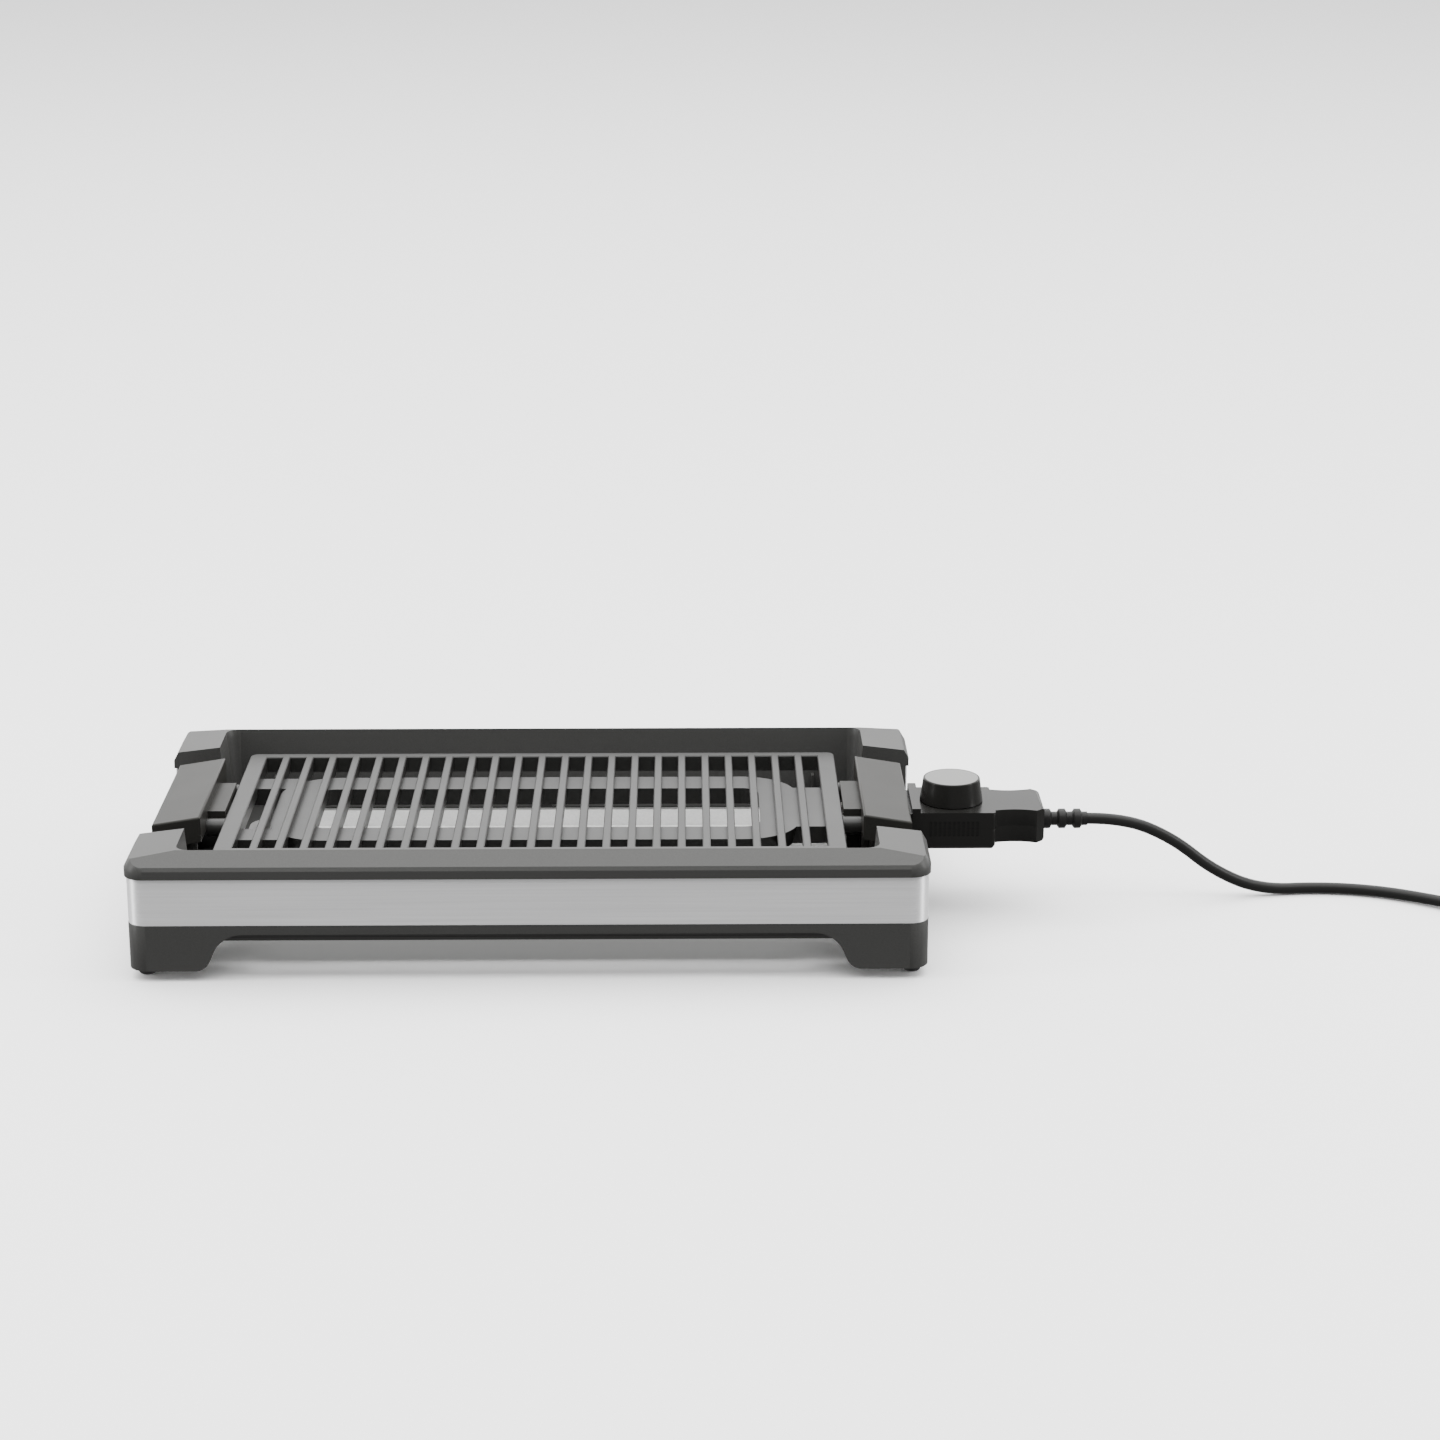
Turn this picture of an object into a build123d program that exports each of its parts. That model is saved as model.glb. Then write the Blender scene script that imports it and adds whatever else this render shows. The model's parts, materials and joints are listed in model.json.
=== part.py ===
from build123d import *
import os
from math import atan, cos, degrees, floor, pi, radians, sin, sqrt, tan

# Electric table grill: a moulded base frame with a steel band, a pressed drip tray,
# a slotted cast plate with two handles, and a plug-in probe thermostat on a mains lead.
# Millimetres, +X to the probe side, +Y to the rear, +Z up, origin on the table
# under the middle of the base frame.

os.makedirs("parts", exist_ok=True)

# Base frame, outside
base_length = 460.0
base_depth = 260.0
base_corner_radius = 12.0
foot_height = 6.5
arch_rise = 22.0
arch_radius = 18.5
arch_lean = 9.3
toe_radius = 9.5
leg_width = 44.5
skirt_band = 5.5
skirt_inset = 1.0
skirt_wall = 3.0
band_height = 28.0
band_inset = 1.2
band_thickness = 0.8
cap_lip = 6.5
cap_bevel = 1.5
cap_bevel_angle = 30.0
rail_rise = 7.0
rail_width = 13.5
tower_width = 29.0
tower_depth = 52.0
tower_fall = 3.5
frame_wall = 2.5
frame_play = 0.2
opening_radius = 8.0
wall_draft = 5.0

# Base frame, inside
ledge_height = 19.5
ledge_thickness = 2.0
leg_core = 28.0
leg_wall = 2.5
rim_width = 3.5
rim_height = 3.0
seat_height = 4.0
pocket_length = 29.0
pocket_play = 1.3
pocket_radius = 2.0
recess_width = 20.0
recess_floor_height = 1.3
recess_rib = 2.5
gusset_width = 10.0
gusset_height = 14.0
gusset_reach = 4.0
guide_rib_thickness = 1.6
guide_rib_height = 20.0
guide_rib_inset = 30.0

# Fasteners and feet
screw_diameter = 3.0
screw_head_diameter = 6.0
screw_head_height = 2.0
screw_play = 0.2
screw_bite = 10.5
boss_diameter = 8.0
boss_sink = 0.25
frame_screw_spread = 193.0
foot_diameter = 10.0
foot_stem_diameter = 4.0
foot_inset = 9.8
foot_setback = 17.0
foot_edge_radius = 1.6
foot_stem_head = 0.7

# Drip tray
tray_end_gap = 18.0
tray_side_gap = 14.5
tray_sheet = 0.8
tray_drop = 9.4
tray_wall_angle = 35.0
tray_corner_radius = 14.0
tray_lip = 3.0
wing_width = 11.5
wing_inset = 20.0
wing_radius = 12.0
tray_end_play = 1.5
tray_side_play = 6.0
tray_shelf_play = 8.5
pad_length = 98.0
pad_depth = 47.0
pad_radius = 3.0
pad_drop = 1.5
pad_angle = 45.0
pad_spread = 206.0
pad_row_spread = 93.0
pad_row_shift = 14.0

# Grill plate
plate_end_gap = 17.5
plate_side_gap = 23.0
plate_recess = 9.2
plate_skirt = 10.0
plate_radius = 5.0
plate_draft = 2.0
slot_width = 9.8
bar_width = 4.8
bar_draft = 3.0
bar_bevel = 0.6
side_rim = 10.0
end_rim = 7.0
ridge_drop = 5.0
ridge_height = 10.5
ridge_width = 23.0
ridge_draft = 10.0
ring_end_inset = 37.5
ring_side_share = 0.2433
ring_corner_share = 0.2292
plate_foot_diameter = 7.0
plate_foot_drop = 3.0
plate_foot_inset = 5.0
terminal_block_depth = 74.0
arm_depth = 20.0

# Heating element and its terminals
heater_diameter = 7.0
heater_play = 0.2
terminal_spread = 24.0
terminal_turn_share = 0.333
bead_diameter = 9.0
bead_length = 5.0
pin_diameter = 4.0
pin_reach = 29.5

# Handles
handle_outer_gap = 6.8
handle_width = 28.6
handle_notch_gap = 20.5
handle_rise = 9.0
handle_fall = 4.6
handle_thickness = 15.3
handle_wall = 2.5
handle_lip = 1.6
handle_edge_radius = 1.2
tongue_depth = 54.0
tongue_rise = 2.5
tongue_thickness = 4.5
tongue_gap = 0.8
post_diameter = 14.2
post_draft = 0.6
post_inset = 12.5
post_edge_radius = 1.0
plate_boss_diameter = 11.0
plate_boss_spread = 64.0
plate_boss_drop = 6.0
shroud_depth = 90.0
shroud_floor = 3.7
shroud_gap = 1.3
seat_gap = 0.3

# Probe thermostat
rod_drop = 11.0
rod_diameter = 6.2
rod_play = 0.5
rod_reach = 56.0
rod_tip_length = 9.0
connector_length = 32.0
connector_depth = 46.0
connector_height = 17.5
connector_play = 0.5
connector_slot_length = 8.5
connector_slot_depth = 20.0
connector_slot_height = 4.0
shoulder_gap = 0.7
body_length = 50.0
body_depth = 50.0
body_drop = 12.3
body_rise = 10.0
flange_rise = 12.7
flange_width = 5.0
grip_length = 30.0
grip_depth = 42.0
grip_waist = 2.5
grip_lift = 2.0
grip_nose = 5.0
grip_edge_radius = 2.0
shell_wall = 2.5
sleeve_diameter = 7.0
sleeve_play = 0.1
sleeve_length = 27.0
sleeve_bore_play = 0.3
rib_count = 11
rib_pitch = 2.8
rib_height = 9.0
rib_depth = 0.6

# Thermostat works
bracket_sheet = 1.2
bracket_width = 14.0
bracket_length = 32.0
blade_width = 8.0
bimetal_sheet = 0.8
contact_sheet = 0.6
stack_diameter = 8.0
stack_lower = 3.4
stack_middle = 3.2
stack_upper = 2.4
stack_offset = 7.0
blade_reach = 20.0
fit_gap = 0.05
bush_diameter = 10.0
bush_flange = 13.0
shaft_diameter = 5.0
shaft_play = 0.08
shaft_blade_gap = 0.6

# Knob
knob_diameter = 38.0
knob_top_diameter = 34.0
knob_height = 14.0
knob_gap = 0.6
knob_edge = 0.8
knob_disc_thickness = 0.8
knob_disc_rim = 1.0
knob_wall = 3.0

# Sprung wire arm beside the terminal shroud
wire_diameter = 2.6
wire_coil_radius = 3.9
wire_pitch = 3.2
wire_turns = 2
wire_arm_length = 26.0
wire_tip_length = 5.0
wire_tip_radius = 2.5
wire_leg_length = 2.5
wire_fold_angle = 12.0
wire_clearance = 1.8
pivot_play = 0.4
pivot_setback = 20.0
wire_shift = 3.2

# Strain relief, mains lead, coil and plug
relief_diameter = 12.0
relief_neck_diameter = 8.4
relief_seat_length = 6.0
relief_bulge_length = 6.0
relief_neck_length = 3.2
relief_bulges = 3
cord_drop = 2.0
cord_diameter = 7.0
cord_lead_in = 23.0
cord_route = [
    (53.0, 1.0, 40.0),
    (79.0, 4.0, 18.0),
    (109.0, 9.0, 3.7),
    (147.0, 13.0, 3.7),
    (181.0, 6.0, 3.8),
    (212.0, -12.0, 4.2),
    (241.0, -35.0, 4.9),
]
coil_offset = 277.0
coil_y = 10.0
coil_outer_radius = 45.0
coil_pitch = 9.0
coil_turns = 2
coil_layer_rise = 7.7
coil_floor = 1.4
coil_tail = 44.0
tie_thickness = 1.0
tie_width = 9.0
tie_play = 0.35
tie_side_play = 1.1
tie_radius = 3.0
plug_width = 34.0
plug_height = 24.6
plug_length = 36.0
plug_neck_length = 16.0
plug_neck_diameter = 13.0
plug_pin_diameter = 4.8
plug_pin_length = 19.0
plug_pin_spread = 19.0
plug_pin_root = 8.0
plug_radius = 8.0
plug_taper = 4.0

# Heights worked out from the table upwards
leg_bottom = foot_height
arch_top = leg_bottom + arch_rise
skirt_top = arch_top + skirt_band
band_top = skirt_top + band_height
cap_edge = band_top + cap_lip
frame_top = cap_edge + rail_rise
tower_edge = frame_top - tower_fall
ledge_top = leg_bottom + ledge_height
seat_top = ledge_top + seat_height
plate_top = frame_top - plate_recess
rod_z = plate_top - rod_drop
shroud_bottom = rod_z - connector_height / 2 - connector_play - shroud_floor
rim_top = shroud_bottom - shroud_gap
deck_top = rim_top - rim_height
recess_floor = ledge_top + recess_floor_height
tray_seat = ledge_top + seat_gap
tray_top = tray_seat + tray_sheet

# Lengths worked out from the outside inwards
half_length = base_length / 2
half_depth = base_depth / 2
opening_length = base_length - 2 * tower_width
opening_depth = base_depth - 2 * rail_width
notch_length = base_depth - 2 * tower_depth
skirt_length = base_length - 2 * skirt_inset
skirt_depth = base_depth - 2 * skirt_inset
skirt_radius = base_corner_radius - skirt_inset
skirt_inner_length = skirt_length - 2 * skirt_wall
skirt_inner_depth = skirt_depth - 2 * skirt_wall
skirt_inner_radius = skirt_radius - skirt_wall
band_length = base_length - 2 * band_inset
band_depth = base_depth - 2 * band_inset
band_radius = base_corner_radius - band_inset
seat_length = band_length - 2 * band_thickness
seat_depth = band_depth - 2 * band_thickness
seat_radius = band_radius - band_thickness
wall_lean = (frame_top - ledge_top) * tan(radians(wall_draft))
wall_foot = opening_depth / 2 - wall_lean
tray_length = opening_length - 2 * tray_end_gap
tray_depth = opening_depth - 2 * tray_side_gap
basin_length = tray_length - 2 * wing_width
basin_depth = tray_depth - 2 * tray_lip
ledge_opening_length = basin_length + 2 * tray_end_play
ledge_opening_depth = tray_depth + 2 * tray_side_play
shelf_inner = tray_length / 2 + tray_shelf_play
plate_length = opening_length - 2 * plate_end_gap
plate_depth = opening_depth - 2 * plate_side_gap
plate_end = plate_length / 2
slot_pitch = slot_width + bar_width
slot_count = floor((plate_length - 2 * side_rim + bar_width) / slot_pitch)
slot_length = plate_depth - 2 * end_rim
handle_outer = half_length - handle_outer_gap
handle_inner = handle_outer - handle_width
handle_length = notch_length - 2 * handle_notch_gap
handle_top = plate_top + handle_rise
post_x = (handle_inner + handle_outer) / 2 - 3.0
post_y = handle_length / 2 - post_inset
post_bottom = seat_top + seat_gap
connector_end = handle_outer + handle_lip + shoulder_gap
connector_start = connector_end - connector_length
body_end = connector_end + body_length
grip_end = body_end + grip_length
rod_tip = connector_start - rod_reach
knob_x = (connector_end + body_end) / 2
cord_z = rod_z - cord_drop
relief_length = relief_bulges * (relief_bulge_length + relief_neck_length)
cord_exit = grip_end + relief_length
heater_radius = heater_diameter / 2
ring_length = plate_length - 2 * ring_end_inset
ring_depth = plate_depth * (1 - 2 * ring_side_share)
ring_radius = ring_depth * ring_corner_share
terminal_turn_radius = (ring_depth - terminal_spread) / 2 * terminal_turn_share
recess_length = 2 * post_y - pocket_length - 2 * recess_rib
recess_x = shelf_inner + recess_rib + recess_width / 2
pivot_z = recess_floor + wire_coil_radius + wire_diameter / 2 + wire_clearance

pivot_radius = wire_coil_radius - wire_diameter / 2 - pivot_play
core_top = cap_edge - frame_wall
gusset_side = sqrt((gusset_width / 2) ** 2 + gusset_height**2)
guide_rib_x = opening_length / 2 - guide_rib_inset
wire_x = recess_x - wire_shift + wire_turns * wire_pitch / 2

frame_screw_y = seat_depth / 2 - frame_wall - boss_diameter / 2 + boss_sink
frame_screw_x = seat_length / 2 - rim_width - screw_head_diameter / 2
frame_screw_points = [
    (-frame_screw_spread, -frame_screw_y),
    (frame_screw_spread, -frame_screw_y),
    (-frame_screw_spread, frame_screw_y),
    (frame_screw_spread, frame_screw_y),
    (-frame_screw_x, 0.0),
    (frame_screw_x, 0.0),
]


def save(builder, label):
    """Labels a finished piece and writes its file."""
    builder.part.label = label
    export_step(builder.part, f"parts/{label}.step")


def helix_half_turn(center, radial, along, axis, radius, climb):
    """Half a turn of a wound tube that climbs along its axis: two tangent quarter arcs."""
    start = center + radial * radius
    middle = center + along * sqrt(radius**2 + climb**2 / 4) + axis * (climb / 2)
    end = center - radial * radius + axis * climb
    first = TangentArc(start, middle, tangent=along)
    TangentArc(middle, end, tangent=first % 1)


def least_self_gap(wire, diameter, skip, samples=600):
    """Smallest gap between stretches of a tube that lie further apart along it than skip."""
    points = [wire @ (i / samples) for i in range(samples + 1)]
    step = wire.length / samples
    apart = int(skip / step)
    gaps = []
    for i in range(len(points)):
        for j in range(i + apart, len(points)):
            gaps.append((points[i] - points[j]).length)
    return min(gaps) - diameter


# Lower frame: skirt with arched openings, four hollow legs and the ledge that carries the tray
with BuildPart() as lower_frame:
    with BuildSketch(Plane.XY.offset(leg_bottom)):
        RectangleRounded(skirt_length, skirt_depth, skirt_radius)
        RectangleRounded(skirt_inner_length, skirt_inner_depth, skirt_inner_radius, mode=Mode.SUBTRACT)
    extrude(amount=skirt_top - leg_bottom)
    for arch_plane, span, reach in (
        (Plane.XZ, skirt_length, base_depth),
        (Plane.YZ, skirt_depth, base_length),
    ):
        arch_foot = span / 2 - leg_width
        with BuildSketch(arch_plane):
            with BuildLine():
                Polyline(
                    (-arch_foot, leg_bottom),
                    (arch_lean - arch_foot, arch_top),
                    (arch_foot - arch_lean, arch_top),
                    (arch_foot, leg_bottom),
                    close=True,
                )
            make_face()
            fillet(vertices().group_by(Axis.Y)[-1], radius=arch_radius)
        extrude(amount=reach, both=True, mode=Mode.SUBTRACT)
    toes = lower_frame.edges().group_by(Axis.Z)[0]
    fillet(toes.filter_by(lambda edge: abs(edge.length - skirt_wall) < 0.01), radius=toe_radius)
    with BuildSketch(Plane.XY.offset(leg_bottom)):
        with GridLocations(skirt_inner_length - leg_core, skirt_inner_depth - leg_core, 2, 2):
            Rectangle(leg_core, leg_core)
        RectangleRounded(skirt_inner_length, skirt_inner_depth, skirt_inner_radius, mode=Mode.INTERSECT)
    extrude(amount=ledge_height)
    with BuildSketch(Plane.XY.offset(ledge_top)):
        RectangleRounded(skirt_inner_length, skirt_inner_depth, skirt_inner_radius)
        RectangleRounded(ledge_opening_length, ledge_opening_depth, tray_corner_radius, mode=Mode.SUBTRACT)
    extrude(amount=-ledge_thickness)
    with BuildSketch(Plane.XY.offset(leg_bottom + leg_wall)):
        with GridLocations(skirt_inner_length - leg_core, skirt_inner_depth - leg_core, 2, 2):
            Rectangle(leg_core - 2 * leg_wall, leg_core - 2 * leg_wall)
    extrude(amount=ledge_height, mode=Mode.SUBTRACT)
    with BuildSketch(Plane.XY.offset(ledge_top)):
        with Locations(*frame_screw_points):
            Circle(screw_diameter / 2 + screw_play)
    extrude(amount=-ledge_thickness, mode=Mode.SUBTRACT)
    with BuildSketch(Plane.XY.offset(leg_bottom)):
        with GridLocations(base_length - 2 * foot_inset, base_depth - 2 * foot_setback, 2, 2):
            Circle(foot_stem_diameter / 2)
    extrude(amount=leg_wall, mode=Mode.SUBTRACT)
save(lower_frame, "lower_frame")

# Upper frame: mitred sloping rails, corner towers, low side walls with the pockets for the posts
with BuildPart() as upper_frame:
    with BuildSketch(Plane.XY.offset(ledge_top)):
        RectangleRounded(
            skirt_inner_length - 2 * frame_play,
            skirt_inner_depth - 2 * frame_play,
            skirt_inner_radius - frame_play,
        )
    extrude(amount=skirt_top - ledge_top)
    with BuildSketch(Plane.XY.offset(skirt_top)):
        RectangleRounded(seat_length, seat_depth, seat_radius)
    extrude(amount=band_height)
    with BuildSketch(Plane.XY.offset(band_top)):
        RectangleRounded(base_length, base_depth, base_corner_radius)
    extrude(amount=cap_lip - cap_bevel)
    with BuildSketch(Plane.XY.offset(cap_edge - cap_bevel)):
        RectangleRounded(base_length, base_depth, base_corner_radius)
    extrude(amount=rail_rise + cap_bevel, taper=cap_bevel_angle)
    with BuildSketch(Plane.XZ):
        with BuildLine():
            Polyline(
                (-half_length, ledge_top),
                (-half_length, tower_edge),
                (-opening_length / 2, frame_top),
                (opening_length / 2, frame_top),
                (half_length, tower_edge),
                (half_length, ledge_top),
                close=True,
            )
        make_face()
    extrude(amount=base_depth, both=True, mode=Mode.INTERSECT)
    with BuildSketch(Plane.YZ):
        with BuildLine():
            Polyline(
                (-half_depth, ledge_top),
                (-half_depth, cap_edge),
                (-opening_depth / 2, frame_top),
                (opening_depth / 2, frame_top),
                (half_depth, cap_edge),
                (half_depth, ledge_top),
                close=True,
            )
        make_face()
    extrude(amount=base_length, both=True, mode=Mode.INTERSECT)
    with BuildSketch(Plane.XY.offset(frame_top)):
        RectangleRounded(opening_length, opening_depth, opening_radius)
    extrude(amount=ledge_top - frame_top, taper=wall_draft, mode=Mode.SUBTRACT)
    with BuildSketch(Plane.XY.offset(ledge_top)):
        with GridLocations(shelf_inner + opening_length / 2, 0, 2, 1):
            Rectangle(opening_length / 2 - shelf_inner, opening_depth)
    extrude(amount=deck_top - ledge_top)
    with BuildSketch(Plane.XY.offset(rim_top)):
        Rectangle(2 * base_length, notch_length)
    extrude(amount=frame_top, mode=Mode.SUBTRACT)
    with BuildSketch(Plane.XY.offset(deck_top)):
        Rectangle(seat_length - 2 * rim_width, notch_length)
    extrude(amount=rim_height, mode=Mode.SUBTRACT)
    with BuildSketch(Plane.XY.offset(seat_top)):
        with GridLocations(2 * post_x, 2 * post_y, 2, 2):
            RectangleRounded(post_diameter + 2 * pocket_play, pocket_length, pocket_radius)
    extrude(amount=deck_top - seat_top, mode=Mode.SUBTRACT)
    with BuildSketch(Plane.XY.offset(recess_floor)):
        with GridLocations(2 * recess_x, 0, 2, 1):
            RectangleRounded(recess_width, recess_length, pocket_radius)
    extrude(amount=deck_top - recess_floor, mode=Mode.SUBTRACT)
    with BuildSketch(Plane.XY.offset(ledge_top)):
        RectangleRounded(seat_length - 2 * frame_wall, seat_depth - 2 * frame_wall, seat_radius)
        with GridLocations(0, skirt_inner_depth, 1, 2):
            Rectangle(base_length, skirt_inner_depth - notch_length - 2 * frame_wall, mode=Mode.INTERSECT)
        Rectangle(opening_length + 2 * frame_wall, opening_depth + 2 * frame_wall, mode=Mode.SUBTRACT)
    extrude(amount=core_top - ledge_top, mode=Mode.SUBTRACT)
    with BuildSketch(Plane.XY.offset(ledge_top)):
        with Locations(*frame_screw_points[:4]):
            Circle(boss_diameter / 2)
    extrude(amount=core_top - ledge_top)
    with BuildSketch(Plane.XY.offset(ledge_top)):
        with Locations(*frame_screw_points):
            Circle(screw_diameter / 2 + fit_gap)
    extrude(amount=screw_bite, mode=Mode.SUBTRACT)
    for wall_plane in (Plane.front, Plane.back):
        with BuildSketch(wall_plane.offset(wall_foot - gusset_reach)):
            with Locations((0, ledge_top)):
                Triangle(a=gusset_width, b=gusset_side, c=gusset_side, align=(Align.CENTER, Align.MIN))
        extrude(amount=gusset_reach + frame_wall / 2)
        with BuildSketch(wall_plane.offset(wall_foot - gusset_reach)):
            with Locations((-guide_rib_x, ledge_top), (guide_rib_x, ledge_top)):
                Rectangle(guide_rib_thickness, guide_rib_height, align=(Align.CENTER, Align.MIN))
        extrude(amount=gusset_reach + frame_wall)
    with BuildSketch(Plane.YZ.offset(shelf_inner)):
        with Locations((pivot_setback, pivot_z)):
            Circle(pivot_radius + fit_gap)
    extrude(amount=2 * recess_rib + recess_width - fit_gap, mode=Mode.SUBTRACT)
save(upper_frame, "upper_frame")

# Steel band in two lengths, each wrapped round two corners as far as the notch
for band_side, band_name in ((-1, "band_front"), (1, "band_rear")):
    with BuildPart() as band:
        with BuildSketch(Plane.XY.offset(skirt_top + fit_gap)):
            RectangleRounded(band_length, band_depth, band_radius)
            RectangleRounded(
                seat_length + 2 * fit_gap,
                seat_depth + 2 * fit_gap,
                seat_radius + fit_gap,
                mode=Mode.SUBTRACT,
            )
            with Locations((0, band_side * half_depth)):
                Rectangle(base_length, 2 * tower_depth, mode=Mode.INTERSECT)
        extrude(amount=band_height - 2 * fit_gap)
    save(band, band_name)

# Rubber feet, each pressed into the floor of a leg
for foot_side, foot_row, foot_name in (
    (-1, -1, "foot_front_left"),
    (1, -1, "foot_front_right"),
    (-1, 1, "foot_rear_left"),
    (1, 1, "foot_rear_right"),
):
    foot_point = (foot_side * (half_length - foot_inset), foot_row * (half_depth - foot_setback))
    with BuildPart() as foot:
        with BuildSketch():
            with Locations(foot_point):
                Circle(foot_diameter / 2)
        extrude(amount=foot_height - fit_gap)
        fillet(foot.edges().group_by(Axis.Z)[0], radius=foot_edge_radius)
        with BuildSketch(Plane.XY.offset(foot_height - fit_gap)):
            with Locations(foot_point):
                Circle(foot_stem_diameter / 2 - fit_gap)
        extrude(amount=leg_wall + 2 * fit_gap)
        with BuildSketch(Plane.XY.offset(foot_height + leg_wall + fit_gap)):
            with Locations(foot_point):
                Circle(foot_stem_diameter / 2 + foot_stem_head)
        extrude(amount=2 * foot_stem_head, taper=30)
    save(foot, foot_name)

# Screws that hold the two frames together from below
with BuildPart() as frame_screws:
    with BuildSketch(Plane.XY.offset(ledge_top - ledge_thickness - fit_gap)):
        with Locations(*frame_screw_points):
            Circle(screw_head_diameter / 2)
    extrude(amount=-screw_head_height)
    with BuildSketch(Plane.XY.offset(ledge_top - ledge_thickness - fit_gap)):
        with Locations(*frame_screw_points):
            Circle(screw_diameter / 2)
    extrude(amount=ledge_thickness + screw_bite - 2 * screw_play)
save(frame_screws, "frame_screws")

# Pin that carries the sprung wire arm in the right-hand recess
with BuildPart() as interlock_pin:
    with BuildSketch(Plane.YZ.offset(shelf_inner + screw_play)):
        with Locations((pivot_setback, pivot_z)):
            Circle(pivot_radius)
    extrude(amount=2 * recess_rib + recess_width - 2 * screw_play - fit_gap)
save(interlock_pin, "interlock_pin")

# Sprung wire arm: a short leg, two turns round the pin, and the arm with its bent tip
fold = radians(wire_fold_angle)
wire_along = Vector(0, -cos(fold), sin(fold))
wire_radial = Vector(0, -sin(fold), -cos(fold))
wire_axis = Vector(1, 0, 0)
wire_start = Vector(wire_x - wire_turns * wire_pitch, pivot_setback, pivot_z)
with BuildPart() as interlock_arm:
    with BuildLine() as wire_path:
        wire_first = wire_start + wire_radial * wire_coil_radius
        Line(wire_first - wire_along * wire_leg_length, wire_first)
        for half_turn in range(2 * wire_turns):
            turn_sign = 1 if half_turn % 2 == 0 else -1
            helix_half_turn(
                wire_start + wire_axis * (half_turn * wire_pitch / 2),
                wire_radial * turn_sign,
                wire_along * turn_sign,
                wire_axis,
                wire_coil_radius,
                wire_pitch / 2,
            )
        wire_last = wire_start + wire_axis * (wire_turns * wire_pitch) + wire_radial * wire_coil_radius
        wire_bend = wire_last + wire_along * (wire_arm_length - wire_tip_radius)
        wire_tip = wire_bend + (wire_along - wire_axis) * wire_tip_radius
        Line(wire_last, wire_bend)
        TangentArc(wire_bend, wire_tip, tangent=wire_along)
        Line(wire_tip, wire_tip - wire_axis * wire_tip_length)
    wire_line = wire_path.wires()[0]
    with BuildSketch(Plane(wire_line @ 0, z_dir=wire_line % 0)):
        Circle(wire_diameter / 2)
    sweep(path=wire_line)
save(interlock_arm, "interlock_arm")
wire_area = pi * wire_diameter**2 / 4
wire_volume = wire_area * wire_line.length
print("wire volume", round(interlock_arm.part.volume), "section x length", round(wire_volume))

# Drip tray: pressed sheet with end wings that hang on the ledge, and four pads pressed down
tray_skin = tray_sheet / cos(radians(tray_wall_angle))
tray_floor = tray_top - tray_drop + tray_sheet
pad_points = [
    (-pad_spread / 2, -pad_row_spread / 2 - pad_row_shift),
    (pad_spread / 2, -pad_row_spread / 2 - pad_row_shift),
    (-pad_spread / 2, pad_row_spread / 2 - pad_row_shift),
    (pad_spread / 2, pad_row_spread / 2 - pad_row_shift),
]
with BuildPart() as drip_tray:
    with BuildSketch(Plane.XY.offset(tray_top)):
        RectangleRounded(basin_length, basin_depth, tray_corner_radius)
    extrude(amount=-tray_drop, taper=tray_wall_angle)
    with BuildSketch(Plane.XY.offset(tray_seat)):
        RectangleRounded(tray_length, tray_depth - 2 * wing_inset, wing_radius)
        RectangleRounded(basin_length + 2 * tray_lip, tray_depth, tray_corner_radius + tray_lip)
    extrude(amount=tray_sheet)
    with BuildSketch(Plane.XY.offset(tray_top)):
        RectangleRounded(
            basin_length - 2 * tray_skin,
            basin_depth - 2 * tray_skin,
            tray_corner_radius - tray_skin,
        )
    extrude(amount=tray_sheet - tray_drop, taper=tray_wall_angle, mode=Mode.SUBTRACT)
    with BuildSketch(Plane.XY.offset(tray_floor)):
        with Locations(*pad_points):
            RectangleRounded(pad_length + 2 * tray_sheet, pad_depth + 2 * tray_sheet, pad_radius + tray_sheet)
    extrude(amount=-pad_drop - tray_sheet, taper=pad_angle)
    with BuildSketch(Plane.XY.offset(tray_floor)):
        with Locations(*pad_points):
            RectangleRounded(pad_length, pad_depth, pad_radius)
    extrude(amount=-pad_drop, taper=pad_angle, mode=Mode.SUBTRACT)
save(drip_tray, "drip_tray")

# Heating element: one bent tube that lies in the groove of the plate
heater_x = ring_length / 2
heater_y = ring_depth / 2
heater_end = plate_end - bead_length / 2
heater_points = [
    (heater_end, terminal_spread / 2, rod_z),
    (heater_x, terminal_spread / 2, rod_z),
    (heater_x, heater_y, rod_z),
    (-heater_x, heater_y, rod_z),
    (-heater_x, -heater_y, rod_z),
    (heater_x, -heater_y, rod_z),
    (heater_x, -terminal_spread / 2, rod_z),
    (heater_end, -terminal_spread / 2, rod_z),
]
heater_turn = ring_radius - heater_radius / 2
heater_radii = [terminal_turn_radius, *[heater_turn] * 4, terminal_turn_radius]
with BuildPart() as heating_element:
    with BuildLine() as heater_path:
        FilletPolyline(*heater_points, radius=heater_radii)
    heater_line = heater_path.wires()[0]
    with BuildSketch(Plane(heater_line @ 0, z_dir=heater_line % 0)):
        Circle(heater_radius)
    sweep(path=heater_line)
save(heating_element, "heating_element")

# Ceramic beads and plug pins at the two ends of the heating element
with BuildPart() as terminal_insulators:
    with BuildSketch(Plane.YZ.offset(heater_end + fit_gap)):
        with Locations((-terminal_spread / 2, rod_z), (terminal_spread / 2, rod_z)):
            Circle(bead_diameter / 2)
            Circle(pin_diameter / 2 + fit_gap, mode=Mode.SUBTRACT)
    extrude(amount=bead_length)
save(terminal_insulators, "terminal_insulators")

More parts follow.
